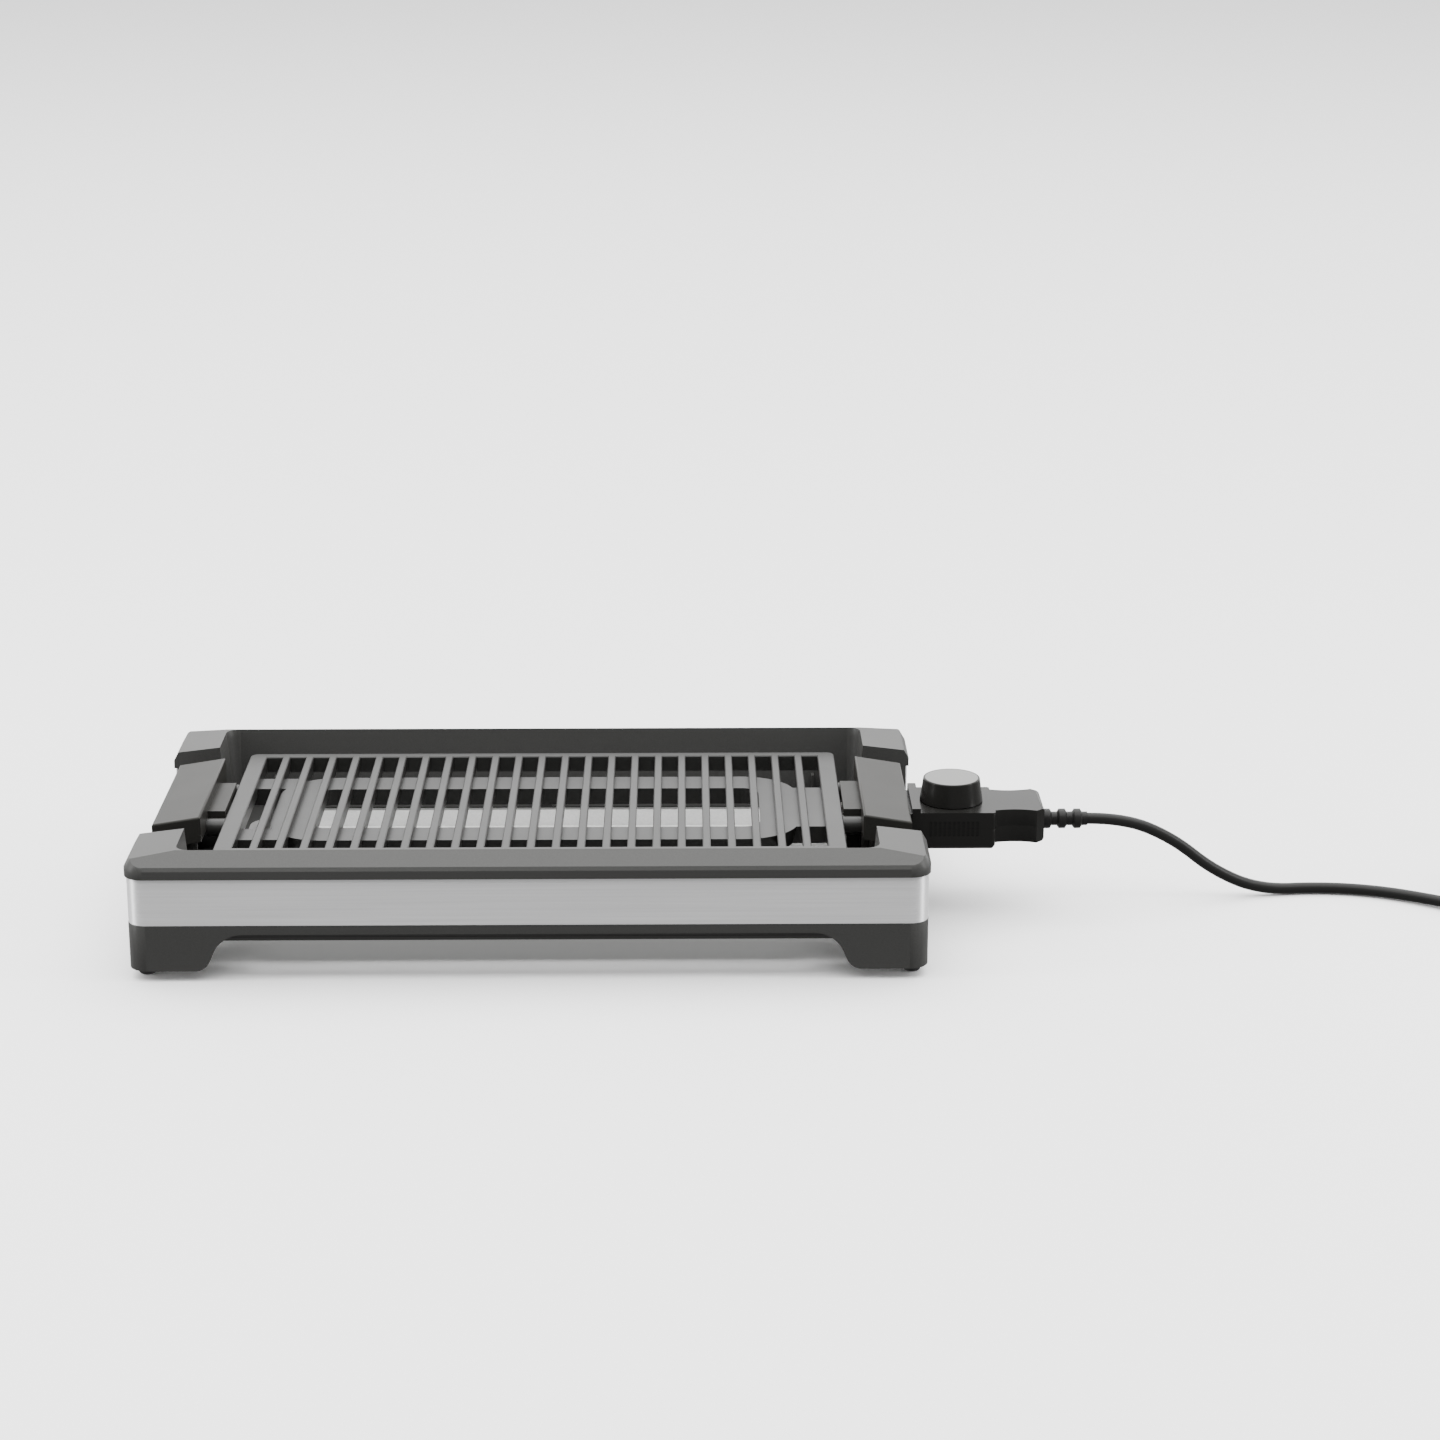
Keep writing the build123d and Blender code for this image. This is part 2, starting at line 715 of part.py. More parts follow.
with BuildPart() as terminal_pins:
    with BuildSketch(Plane.YZ.offset(heater_end + fit_gap)):
        with Locations((-terminal_spread / 2, rod_z), (terminal_spread / 2, rod_z)):
            Circle(pin_diameter / 2)
    extrude(amount=plate_end + pin_reach - heater_end)
    fillet(terminal_pins.edges().group_by(Axis.X)[-1], radius=pin_diameter / 4)
save(terminal_pins, "terminal_pins")

# Grill plate: slotted casting with the heater ridge below, its groove, bosses and corner feet
boss_z = plate_top - plate_boss_drop
ridge_top = plate_top - ridge_drop
with BuildPart() as grill_plate:
    with BuildSketch(Plane.XY.offset(plate_top)):
        RectangleRounded(plate_length, plate_depth, plate_radius)
    extrude(amount=-plate_skirt, taper=plate_draft)
    with BuildSketch(Plane.XY.offset(plate_top)):
        with GridLocations(slot_pitch, 0, slot_count, 1):
            Rectangle(slot_width, slot_length)
    extrude(amount=-plate_skirt, taper=-bar_draft, mode=Mode.SUBTRACT)
    chamfer(grill_plate.edges().group_by(Axis.Z)[-1], length=bar_bevel)
    with BuildSketch(Plane.XY.offset(ridge_top)):
        RectangleRounded(ring_length + ridge_width, ring_depth + ridge_width, ring_radius + ridge_width / 2)
        RectangleRounded(
            ring_length - ridge_width,
            ring_depth - ridge_width,
            ring_radius - ridge_width / 2,
            mode=Mode.SUBTRACT,
        )
    extrude(amount=-ridge_height, taper=ridge_draft)
    with BuildSketch(Plane.XY.offset(ridge_top)):
        with Locations((-heater_x, -heater_y), (-heater_x, heater_y)):
            Rectangle(plate_end - heater_x - end_rim / 2, arm_depth, align=(Align.MAX, Align.CENTER))
        with Locations((heater_x, 0)):
            Rectangle(plate_end - heater_x, terminal_block_depth, align=(Align.MIN, Align.CENTER))
    extrude(amount=-ridge_height)
    for boss_plane in (Plane.left, Plane.right):
        with BuildSketch(boss_plane.offset(plate_end - end_rim / 2)):
            with Locations((-plate_boss_spread / 2, boss_z), (plate_boss_spread / 2, boss_z)):
                Circle(plate_boss_diameter / 2)
        extrude(amount=handle_inner - fit_gap - plate_end + end_rim / 2)
        with BuildSketch(boss_plane.offset(handle_inner)):
            with Locations((-plate_boss_spread / 2, boss_z), (plate_boss_spread / 2, boss_z)):
                Circle(screw_diameter / 2 + fit_gap)
        extrude(amount=-screw_bite, mode=Mode.SUBTRACT)
    with BuildSketch(Plane.XY.offset(plate_top - plate_skirt / 2)):
        with GridLocations(plate_length - 2 * plate_foot_inset, plate_depth - 2 * plate_foot_inset, 2, 2):
            Circle(plate_foot_diameter / 2)
    extrude(amount=-plate_skirt / 2 - plate_foot_drop, taper=plate_draft)
    with BuildLine() as groove_path:
        FilletPolyline(*heater_points, radius=heater_radii)
    groove_line = groove_path.wires()[0]
    with BuildSketch(Plane(groove_line @ 0, x_dir=(0, 1, 0), z_dir=groove_line % 0)):
        Circle(heater_radius + heater_play)
        Rectangle(heater_diameter + 2 * heater_play, ridge_height, align=(Align.CENTER, Align.MIN))
    sweep(path=groove_line, mode=Mode.SUBTRACT)
    with BuildSketch(Plane.YZ.offset(plate_end)):
        with Locations((-terminal_spread / 2, rod_z), (terminal_spread / 2, rod_z)):
            Circle(bead_diameter / 2 + fit_gap)
    extrude(amount=heater_end - plate_end, mode=Mode.SUBTRACT)
    with BuildSketch(Plane.YZ.offset(plate_end)):
        with Locations((0, rod_z)):
            Circle(rod_diameter / 2 + rod_play)
    extrude(amount=rod_tip - rod_play * 3 - plate_end, mode=Mode.SUBTRACT)
save(grill_plate, "grill_plate")

# Handles: hollow sloping grips on two posts, the right one with the terminal shroud
handle_bottom = handle_top - handle_thickness
tongue_top = plate_top + tongue_rise
shroud_start = plate_end + handle_wall
shroud_end = handle_outer - frame_wall / 2
cavity_height = connector_height + 2 * connector_play
cavity_depth = connector_depth + 2 * connector_play
tunnel_depth = cavity_depth + 2 * handle_wall
post_run = (post_x + post_diameter / 2 - handle_inner) / handle_width
post_top = handle_top - handle_fall * post_run - handle_wall / 3
for handle_side, handle_name in ((-1, "handle_left"), (1, "handle_right")):
    with BuildPart() as handle:
        with BuildSketch(Plane.XZ):
            with BuildLine():
                Polyline(
                    (handle_side * handle_inner, handle_bottom),
                    (handle_side * handle_inner, handle_top),
                    (handle_side * handle_outer, handle_top - handle_fall),
                    (handle_side * handle_outer, handle_bottom - handle_fall),
                    close=True,
                )
            make_face()
        extrude(amount=handle_length / 2, both=True)
        fillet(handle.faces().sort_by(Axis.Z)[-1].edges(), radius=handle_edge_radius)
        with BuildSketch(Plane.XZ):
            with BuildLine():
                Polyline(
                    (handle_side * handle_outer, handle_bottom - handle_fall),
                    (handle_side * (handle_outer + handle_lip), handle_bottom - handle_fall),
                    (handle_side * handle_outer, handle_bottom - handle_fall + 2 * handle_lip),
                    close=True,
                )
            make_face()
        extrude(amount=handle_length / 2, both=True)
        with BuildSketch(Plane.XZ):
            with BuildLine():
                Polyline(
                    (handle_side * (handle_inner + handle_wall), handle_bottom - handle_fall),
                    (handle_side * (handle_inner + handle_wall), handle_top - handle_wall),
                    (handle_side * (handle_outer - handle_wall), handle_top - handle_fall - handle_wall),
                    (handle_side * (handle_outer - handle_wall), handle_bottom - handle_fall),
                    close=True,
                )
            make_face()
        extrude(amount=handle_length / 2 - handle_wall, both=True, mode=Mode.SUBTRACT)
        with Locations((handle_side * (handle_inner + handle_wall), 0, tongue_top)):
            tongue_reach = handle_inner + handle_wall - plate_end - tongue_gap
            tongue_align = Align.MIN if handle_side < 0 else Align.MAX
            Box(tongue_reach, tongue_depth, tongue_thickness, align=(tongue_align, Align.CENTER, Align.MAX))
        if handle_side > 0:
            with Locations((shroud_start, 0, shroud_bottom)):
                Box(
                    shroud_end - shroud_start,
                    tunnel_depth,
                    tongue_top - shroud_bottom,
                    align=(Align.MIN, Align.CENTER, Align.MIN),
                )
            with Locations((handle_inner, 0, shroud_bottom)):
                Box(
                    shroud_end - handle_inner,
                    shroud_depth,
                    handle_bottom - shroud_bottom,
                    align=(Align.MIN, Align.CENTER, Align.MIN),
                )
            void_depth = (shroud_depth - tunnel_depth) / 2 - handle_wall
            void_y = tunnel_depth / 2 + void_depth / 2
            void_x = handle_inner + handle_wall
            with Locations((void_x, -void_y, shroud_bottom), (void_x, void_y, shroud_bottom)):
                Box(
                    shroud_end - handle_inner - 2 * handle_wall,
                    void_depth,
                    handle_bottom - shroud_bottom,
                    align=(Align.MIN, Align.CENTER, Align.MIN),
                    mode=Mode.SUBTRACT,
                )
            with Locations((shroud_start + handle_wall, 0, rod_z)):
                Box(
                    base_length,
                    cavity_depth,
                    cavity_height,
                    align=(Align.MIN, Align.CENTER, Align.CENTER),
                    mode=Mode.SUBTRACT,
                )
            with BuildSketch(Plane.YZ.offset(shroud_start)):
                with Locations((0, rod_z)):
                    Circle(rod_diameter / 2 + 2 * rod_play)
                with Locations((-terminal_spread / 2, rod_z), (terminal_spread / 2, rod_z)):
                    Circle(bead_diameter / 2 + 2 * rod_play)
            extrude(amount=handle_wall, mode=Mode.SUBTRACT)
        with BuildSketch(Plane.XY.offset(post_bottom)):
            with Locations((handle_side * post_x, -post_y), (handle_side * post_x, post_y)):
                Circle(post_diameter / 2)
        extrude(amount=post_top - post_bottom, taper=-post_draft)
        fillet(handle.edges().group_by(Axis.Z)[0], radius=post_edge_radius)
        with BuildSketch(Plane.YZ.offset(handle_side * handle_inner)):
            with Locations((-plate_boss_spread / 2, boss_z), (plate_boss_spread / 2, boss_z)):
                Circle(screw_diameter / 2 + screw_play)
        extrude(amount=handle_side * handle_wall, mode=Mode.SUBTRACT)
    save(handle, handle_name)

# Screws that hold each handle to the bosses of the plate
with BuildPart() as handle_screws:
    for screw_plane in (Plane.left, Plane.right):
        with BuildSketch(screw_plane.offset(handle_inner + handle_wall + fit_gap)):
            with Locations((-plate_boss_spread / 2, boss_z), (plate_boss_spread / 2, boss_z)):
                Circle(screw_head_diameter / 2)
        extrude(amount=screw_head_height)
        with BuildSketch(screw_plane.offset(handle_inner + handle_wall + fit_gap)):
            with Locations((-plate_boss_spread / 2, boss_z), (plate_boss_spread / 2, boss_z)):
                Circle(screw_diameter / 2)
        extrude(amount=-(handle_wall + screw_bite - 2 * screw_play))
save(handle_screws, "handle_screws")

# Temperature probe: a pointed steel rod that plugs into the bore of the plate
cavity_start = connector_end + shell_wall + 1.0
cavity_end = body_end - shell_wall - 1.0
cavity_width = body_depth - 2 * shell_wall - 2.0
cavity_floor = rod_z - body_drop + shell_wall
cavity_roof = rod_z + body_rise - shell_wall
rod_end = cavity_start + 6.0
with BuildPart() as probe_rod:
    with BuildSketch(Plane.XZ):
        with BuildLine():
            Polyline(
                (rod_tip, rod_z),
                (rod_tip, rod_z + rod_diameter / 10),
                (rod_tip + rod_tip_length, rod_z + rod_diameter / 2),
                (rod_end, rod_z + rod_diameter / 2),
                (rod_end, rod_z),
                close=True,
            )
        make_face()
    revolve(axis=Axis((0, 0, rod_z), (1, 0, 0)))
save(probe_rod, "probe_rod")

# Probe housing in two shells: connector, ribbed body, flange and waisted grip
housing_screw_x = body_end - shell_wall - 5.5
housing_screw_y = cavity_width / 2 - 5.5
housing_screws = [(housing_screw_x, -housing_screw_y), (housing_screw_x, housing_screw_y)]
housing_boss = screw_head_diameter + 1.0
screw_seat = rod_z - body_drop + screw_head_height + 2 * screw_play
screw_top = rod_z + body_rise - shell_wall - 2.0
grip_half = grip_depth / 2
for housing_name, housing_split, housing_keep in (
    ("probe_housing_lower", rod_z - fit_gap / 2, Keep.BOTTOM),
    ("probe_housing_upper", rod_z + fit_gap / 2, Keep.TOP),
):
    with BuildPart() as housing:
        with Locations((connector_start, 0, rod_z)):
            Box(
                connector_length,
                connector_depth,
                connector_height,
                align=(Align.MIN, Align.CENTER, Align.CENTER),
            )
        with Locations((connector_start, 0, rod_z + connector_height / 2)):
            Box(
                connector_slot_length,
                connector_slot_depth,
                connector_slot_height,
                align=(Align.MIN, Align.CENTER, Align.MAX),
                mode=Mode.SUBTRACT,
            )
        with BuildSketch(Plane.XZ):
            with BuildLine():
                Polyline(
                    (connector_end, rod_z - body_drop),
                    (body_end - grip_lift, rod_z - body_drop),
                    (body_end, rod_z - body_drop + grip_lift),
                    (body_end, rod_z + body_rise),
                    (connector_end + flange_width, rod_z + body_rise),
                    (connector_end + flange_width, rod_z + flange_rise),
                    (connector_end, rod_z + flange_rise),
                    close=True,
                )
            make_face()
        extrude(amount=body_depth / 2, both=True)
        fillet(housing.edges().filter_by(Axis.Z).group_by(Axis.X)[-1], radius=grip_edge_radius)
        with BuildSketch(Plane.XY.offset(rod_z - body_drop + grip_lift)):
            with BuildLine():
                left_flank = ThreePointArc(
                    (body_end - grip_edge_radius, grip_half),
                    (body_end + grip_length / 2, grip_half - grip_waist),
                    (grip_end - grip_nose, grip_half),
                )
                right_flank = ThreePointArc(
                    (body_end - grip_edge_radius, -grip_half),
                    (body_end + grip_length / 2, grip_waist - grip_half),
                    (grip_end - grip_nose, -grip_half),
                )
                Line(left_flank @ 0, right_flank @ 0)
                Polyline(
                    left_flank @ 1,
                    (grip_end, grip_half - grip_nose),
                    (grip_end, grip_nose - grip_half),
                    right_flank @ 1,
                )
            make_face()
        extrude(amount=body_drop - grip_lift + body_rise)
        fillet(housing.edges().filter_by(Axis.Y).group_by(Axis.X)[-1], radius=grip_edge_radius)
        with BuildSketch(Plane.XZ):
            with Locations((knob_x, rod_z)):
                with GridLocations(rib_pitch, 0, rib_count, 1):
                    Rectangle(rib_pitch / 2, rib_height)
        extrude(amount=body_depth, both=True, mode=Mode.SUBTRACT)
        with Locations((connector_end + rib_depth, 0, rod_z)):
            Box(
                body_length - 2 * grip_edge_radius,
                body_depth - 2 * rib_depth,
                rib_height + rib_depth,
                align=(Align.MIN, Align.CENTER, Align.CENTER),
            )
        with Locations((cavity_start, 0, cavity_floor)):
            Box(
                cavity_end - cavity_start,
                cavity_width,
                cavity_roof - cavity_floor,
                align=(Align.MIN, Align.CENTER, Align.MIN),
                mode=Mode.SUBTRACT,
            )
        with BuildSketch(Plane.XY.offset(cavity_floor)):
            with Locations(*housing_screws):
                Circle(housing_boss / 2)
        extrude(amount=cavity_roof - cavity_floor)
        with BuildSketch(Plane.XY.offset(rod_z - body_drop)):
            with Locations(*housing_screws):
                Circle(screw_head_diameter / 2 + screw_play)
        extrude(amount=screw_seat - rod_z + body_drop, mode=Mode.SUBTRACT)
        with BuildSketch(Plane.XY.offset(screw_seat)):
            with Locations(*housing_screws):
                Circle(screw_diameter / 2 + fit_gap)
        extrude(amount=screw_top - screw_seat, mode=Mode.SUBTRACT)
        with BuildSketch(Plane.YZ.offset(connector_start)):
            with Locations((0, rod_z)):
                Circle(rod_diameter / 2 + fit_gap)
        extrude(amount=cavity_start - connector_start, mode=Mode.SUBTRACT)
        with BuildSketch(Plane.YZ.offset(connector_start)):
            with Locations((-terminal_spread / 2, rod_z), (terminal_spread / 2, rod_z)):
                Circle(sleeve_diameter / 2 + sleeve_play)
        extrude(amount=sleeve_length + sleeve_play, mode=Mode.SUBTRACT)
        with BuildSketch(Plane.YZ.offset(grip_end)):
            with Locations((0, cord_z)):
                Circle(relief_diameter / 2 - 1.0 + fit_gap)
        extrude(amount=-relief_seat_length - fit_gap, mode=Mode.SUBTRACT)
        with BuildSketch(Plane.XY.offset(cavity_roof)):
            with Locations((knob_x, 0)):
                Circle(bush_diameter / 2 + fit_gap)
        extrude(amount=body_rise, mode=Mode.SUBTRACT)
        split(bisect_by=Plane.XY.offset(housing_split), keep=housing_keep)
    save(housing, housing_name)

# Screws that close the probe housing
with BuildPart() as probe_screws:
    with BuildSketch(Plane.XY.offset(screw_seat - fit_gap)):
        with Locations(*housing_screws):
            Circle(screw_head_diameter / 2)
    extrude(amount=-screw_head_height)
    with BuildSketch(Plane.XY.offset(screw_seat - fit_gap)):
        with Locations(*housing_screws):
            Circle(screw_diameter / 2)
    extrude(amount=screw_top - screw_seat - screw_play)
save(probe_screws, "probe_screws")

# Brass sleeves that take the plug pins
with BuildPart() as contact_sleeves:
    with BuildSketch(Plane.YZ.offset(connector_start + sleeve_play)):
        with Locations((-terminal_spread / 2, rod_z), (terminal_spread / 2, rod_z)):
            Circle(sleeve_diameter / 2)
            Circle(pin_diameter / 2 + sleeve_bore_play, mode=Mode.SUBTRACT)
    extrude(amount=sleeve_length - sleeve_play)
save(contact_sleeves, "contact_sleeves")

# Thermostat works: bracket on the rod, ceramic stack, bimetal blade and contact blade
bracket_start = cavity_start + 1.0
bracket_bottom = cavity_floor + fit_gap
bracket_top = bracket_bottom + bracket_sheet
stack_x = knob_x + stack_offset
with BuildPart() as thermostat_bracket:
    with Locations((bracket_start, 0, bracket_bottom)):
        Box(bracket_length, bracket_width, bracket_sheet, align=(Align.MIN, Align.CENTER, Align.MIN))
        Box(
            bracket_sheet,
            bracket_width,
            rod_z + rod_diameter - bracket_bottom,
            align=(Align.MIN, Align.CENTER, Align.MIN),
        )
    with BuildSketch(Plane.YZ.offset(bracket_start)):
        with Locations((0, rod_z)):
            Circle(rod_diameter / 2 + fit_gap)
    extrude(amount=bracket_sheet, mode=Mode.SUBTRACT)
save(thermostat_bracket, "thermostat_bracket")

lower_bead = bracket_top + fit_gap
bimetal_z = lower_bead + stack_lower + fit_gap
middle_bead = bimetal_z + bimetal_sheet + fit_gap
contact_z = middle_bead + stack_middle + fit_gap
upper_bead = contact_z + contact_sheet + fit_gap
with BuildPart() as ceramic_stack:
    for bead_z, bead_height in (
        (lower_bead, stack_lower),
        (middle_bead, stack_middle),
        (upper_bead, stack_upper),
    ):
        with BuildSketch(Plane.XY.offset(bead_z)):
            with Locations((stack_x, 0)):
                Circle(stack_diameter / 2)
        extrude(amount=bead_height)
save(ceramic_stack, "ceramic_stack")

with BuildPart() as bimetal_blade:
    with Locations((stack_x + stack_diameter / 2, 0, bimetal_z)):
        Box(blade_reach, blade_width, bimetal_sheet, align=(Align.MAX, Align.CENTER, Align.MIN))
    fillet(bimetal_blade.edges().filter_by(Axis.Z), radius=blade_width / 5)
save(bimetal_blade, "bimetal_blade")

with BuildPart() as contact_blade:
    with Locations((stack_x + stack_diameter / 2, 0, contact_z)):
        Box(blade_reach, blade_width * 0.75, contact_sheet, align=(Align.MAX, Align.CENTER, Align.MIN))
    with BuildSketch(Plane.XY.offset(contact_z)):
        with Locations((stack_x + stack_diameter / 2 - blade_reach + blade_width / 2, 0)):
            Circle(blade_width / 5)
    extrude(amount=-stack_middle / 2)
save(contact_blade, "contact_blade")

with BuildPart() as shaft_bush:
    with BuildSketch(Plane.XY.offset(cavity_roof - fit_gap)):
        with Locations((knob_x, 0)):
            Circle(bush_diameter / 2)
            Circle(shaft_diameter / 2 + shaft_play, mode=Mode.SUBTRACT)
    extrude(amount=shell_wall)
    with BuildSketch(Plane.XY.offset(cavity_roof - fit_gap)):
        with Locations((knob_x, 0)):
            Circle(bush_flange / 2)
            Circle(shaft_diameter / 2 + shaft_play, mode=Mode.SUBTRACT)
    extrude(amount=-bracket_sheet)
save(shaft_bush, "shaft_bush")

# Temperature knob: tapered grip, its shaft and the bright disc on top
knob_base = rod_z + body_rise + knob_gap
knob_angle = degrees(atan((knob_diameter - knob_top_diameter) / 2 / knob_height))
knob_crown = knob_base + knob_height
disc_diameter = knob_top_diameter - 2 * knob_disc_rim
with BuildPart() as knob:
    with BuildSketch(Plane.XY.offset(knob_base)):
        with Locations((knob_x, 0)):
            Circle(knob_diameter / 2)
    extrude(amount=knob_height, taper=knob_angle)
    fillet(knob.edges().group_by(Axis.Z)[-1], radius=knob_edge)
    with BuildSketch(Plane.XY.offset(knob_crown)):
        with Locations((knob_x, 0)):
            Circle(disc_diameter / 2)
    extrude(amount=-knob_disc_thickness - fit_gap, mode=Mode.SUBTRACT)
    with BuildSketch(Plane.XY.offset(knob_base)):
        with Locations((knob_x, 0)):
            Circle(knob_diameter / 2 - 2 * knob_wall)
            Circle(bush_diameter / 2, mode=Mode.SUBTRACT)
    extrude(amount=knob_height - knob_wall - knob_disc_thickness, mode=Mode.SUBTRACT)
    with BuildSketch(Plane.XY.offset(knob_base)):
        with Locations((knob_x, 0)):
            Circle(shaft_diameter / 2 + fit_gap)
    extrude(amount=knob_height - knob_wall - knob_disc_thickness, mode=Mode.SUBTRACT)
save(knob, "knob")

with BuildPart() as knob_cap:
    with BuildSketch(Plane.XY.offset(knob_crown - knob_disc_thickness)):
        with Locations((knob_x, 0)):
            Circle(disc_diameter / 2 - fit_gap)
    extrude(amount=knob_disc_thickness - fit_gap)
save(knob_cap, "knob_cap")

shaft_bottom = contact_z + contact_sheet + shaft_blade_gap
shaft_top = knob_crown - knob_wall - knob_disc_thickness - 2 * fit_gap
with BuildPart() as knob_shaft:
    with BuildSketch(Plane.XY.offset(shaft_bottom)):
        with Locations((knob_x, 0)):
            Circle(shaft_diameter / 2)
    extrude(amount=shaft_top - shaft_bottom)
save(knob_shaft, "knob_shaft")

# Strain relief: a seat inside the grip and three rubber bulges
with BuildPart() as strain_relief:
    with BuildSketch(Plane.XZ):
        with BuildLine():
            relief_points = [
                (grip_end - relief_seat_length, cord_z),
                (grip_end - relief_seat_length, cord_z + relief_diameter / 2 - 1.0),
                (grip_end + fit_gap, cord_z + relief_diameter / 2 - 1.0),
            ]
            for bulge in range(relief_bulges):
                bulge_start = grip_end + fit_gap + bulge * (relief_bulge_length + relief_neck_length)
                bulge_end = bulge_start + relief_bulge_length
                shoulder = relief_bulge_length / 5
                relief_points.append((bulge_start + shoulder, cord_z + relief_diameter / 2))
                relief_points.append((bulge_end - shoulder, cord_z + relief_diameter / 2))
                relief_points.append((bulge_end, cord_z + relief_neck_diameter / 2))
                neck_end = grip_end + (bulge + 1) * (relief_bulge_length + relief_neck_length)
                relief_points.append((neck_end, cord_z + relief_neck_diameter / 2))
            relief_points.append((cord_exit, cord_z))
            Polyline(*relief_points, close=True)
        make_face()
    revolve(axis=Axis((0, 0, cord_z), (1, 0, 0)))
save(strain_relief, "strain_relief")

# Mains lead: droops from the strain relief to the table and runs to the coil
coil_x = cord_exit + coil_offset
layer_low = coil_floor + cord_diameter / 2
layer_high = layer_low + coil_layer_rise
lead_points = [Vector(cord_exit + fit_gap, 0, cord_z), Vector(cord_exit + cord_lead_in, 0, cord_z)]
lead_points += [Vector(cord_exit + dx, y, z) for dx, y, z in cord_route]
lead_points.append(Vector(coil_x, coil_y - coil_outer_radius, layer_low))
lead_radii = []
for before, corner, after in zip(lead_points, lead_points[1:], lead_points[2:]):
    run_in = corner - before
    run_out = after - corner
    turn = radians(run_in.get_angle(run_out))
    lead_radii.append(0.45 * min(run_in.length, run_out.length) / tan(turn / 2))
with BuildPart() as cord_lead:
    with BuildLine() as lead_path:
        FilletPolyline(*lead_points, radius=lead_radii)
    lead_line = lead_path.wires()[0]
    with BuildSketch(Plane(lead_line @ 0, z_dir=lead_line % 0)):
        Circle(cord_diameter / 2)
    sweep(path=lead_line)
save(cord_lead, "cord_lead")
cord_area = pi * cord_diameter**2 / 4
print("lead radii", [round(r, 1) for r in lead_radii])
lead_ratio = cord_lead.part.volume / cord_area / lead_line.length
print("lead length", round(lead_line.length), "volume ratio", round(lead_ratio, 4))

# Coil: two turns inwards on the table, half a turn up, two turns outwards, and the tail to the plug
half_pitch = coil_pitch / 2
half_turns = 2 * coil_turns
coil_inner_radius = coil_outer_radius - half_turns * half_pitch
tail_radius = coil_outer_radius - half_pitch / 2
tail_x = coil_x + tail_radius
tail_y = coil_y - coil_outer_radius + half_pitch + tail_radius
with BuildPart() as cord_coil:
    with BuildLine() as coil_path:
        heading = Vector(1, 0, 0)
        here = Vector(coil_x + fit_gap, coil_y - coil_outer_radius, layer_low)
        coil_first = Vector(coil_x + 2 * fit_gap, coil_y - coil_outer_radius, layer_low)
        Line(here, coil_first)
        here = coil_first
        side = -1
        for half_turn in range(half_turns):
            side = -side
            reach = coil_outer_radius - (half_turn + 1) * half_pitch
            there = Vector(coil_first.X, coil_y + side * reach, layer_low)
            TangentArc(here, there, tangent=heading)
            heading = heading * -1
            here = there
        helix_half_turn(
            Vector(coil_first.X, coil_y, layer_low),
            Vector(0, -1, 0),
            Vector(1, 0, 0),
            Vector(0, 0, 1),
            coil_inner_radius,
            coil_layer_rise,
        )
        here = Vector(coil_first.X, coil_y + coil_inner_radius, layer_high)
        heading = Vector(-1, 0, 0)
        side = 1
        for half_turn in range(half_turns - 1):
            side = -side
            reach = coil_inner_radius + (half_turn + 1) * half_pitch
            there = Vector(coil_first.X, coil_y + side * reach, layer_high)
            TangentArc(here, there, tangent=heading)
            heading = heading * -1
            here = there
        there = Vector(coil_first.X + tail_radius, tail_y, layer_high)
        TangentArc(here, there, tangent=heading)
        Line(there, there + Vector(0, coil_tail, 0))
    coil_line = coil_path.wires()[0]
    with BuildSketch(Plane(coil_line @ 0, z_dir=coil_line % 0)):
        Circle(cord_diameter / 2)
    sweep(path=coil_line)
save(cord_coil, "cord_coil")
coil_ratio = cord_coil.part.volume / cord_area / coil_line.length
print("coil length", round(coil_line.length), "volume ratio", round(coil_ratio, 4))
print("coil least gap", round(least_self_gap(coil_line, cord_diameter, 8 * cord_diameter), 2))

# Tie round the four strands on the near side of the coil
strand_far = coil_outer_radius - 1.5 * half_pitch
strand_near = coil_inner_radius + half_pitch / 2
tie_inner_length = strand_far - strand_near + cord_diameter + 2 * tie_side_play
tie_inner_height = coil_layer_rise + cord_diameter + 2 * tie_play
with BuildPart() as cord_tie:
    with BuildSketch(Plane.XZ.offset(-coil_y)):
        with Locations((coil_x - (strand_far + strand_near) / 2, (layer_low + layer_high) / 2)):
            RectangleRounded(
                tie_inner_length + 2 * tie_thickness,
                tie_inner_height + 2 * tie_thickness,
                tie_radius + tie_thickness,
            )
            RectangleRounded(tie_inner_length, tie_inner_height, tie_radius, mode=Mode.SUBTRACT)
    extrude(amount=tie_width / 2, both=True)
save(cord_tie, "cord_tie")

# Mains plug with its two pins
plug_y = tail_y + coil_tail + fit_gap
plug_x = tail_x + 2 * fit_gap
plug_face = plug_y + plug_neck_length + plug_length
plug_plane = Plane(origin=(plug_x, plug_y, layer_high), x_dir=(1, 0, 0), z_dir=(0, 1, 0))
with BuildPart() as plug_body:
    with BuildSketch(plug_plane):
        Circle(plug_neck_diameter / 2)
    extrude(amount=plug_neck_length)
    with BuildSketch(plug_plane.offset(plug_neck_length + plug_length)):
        RectangleRounded(plug_width, plug_height, plug_radius)
    extrude(amount=-plug_length, taper=plug_taper)
    with BuildSketch(plug_plane.offset(plug_neck_length + plug_length)):
        with Locations((-plug_pin_spread / 2, 0), (plug_pin_spread / 2, 0)):
            Circle(plug_pin_diameter / 2 + fit_gap)
    extrude(amount=-plug_pin_root, mode=Mode.SUBTRACT)
save(plug_body, "plug_body")

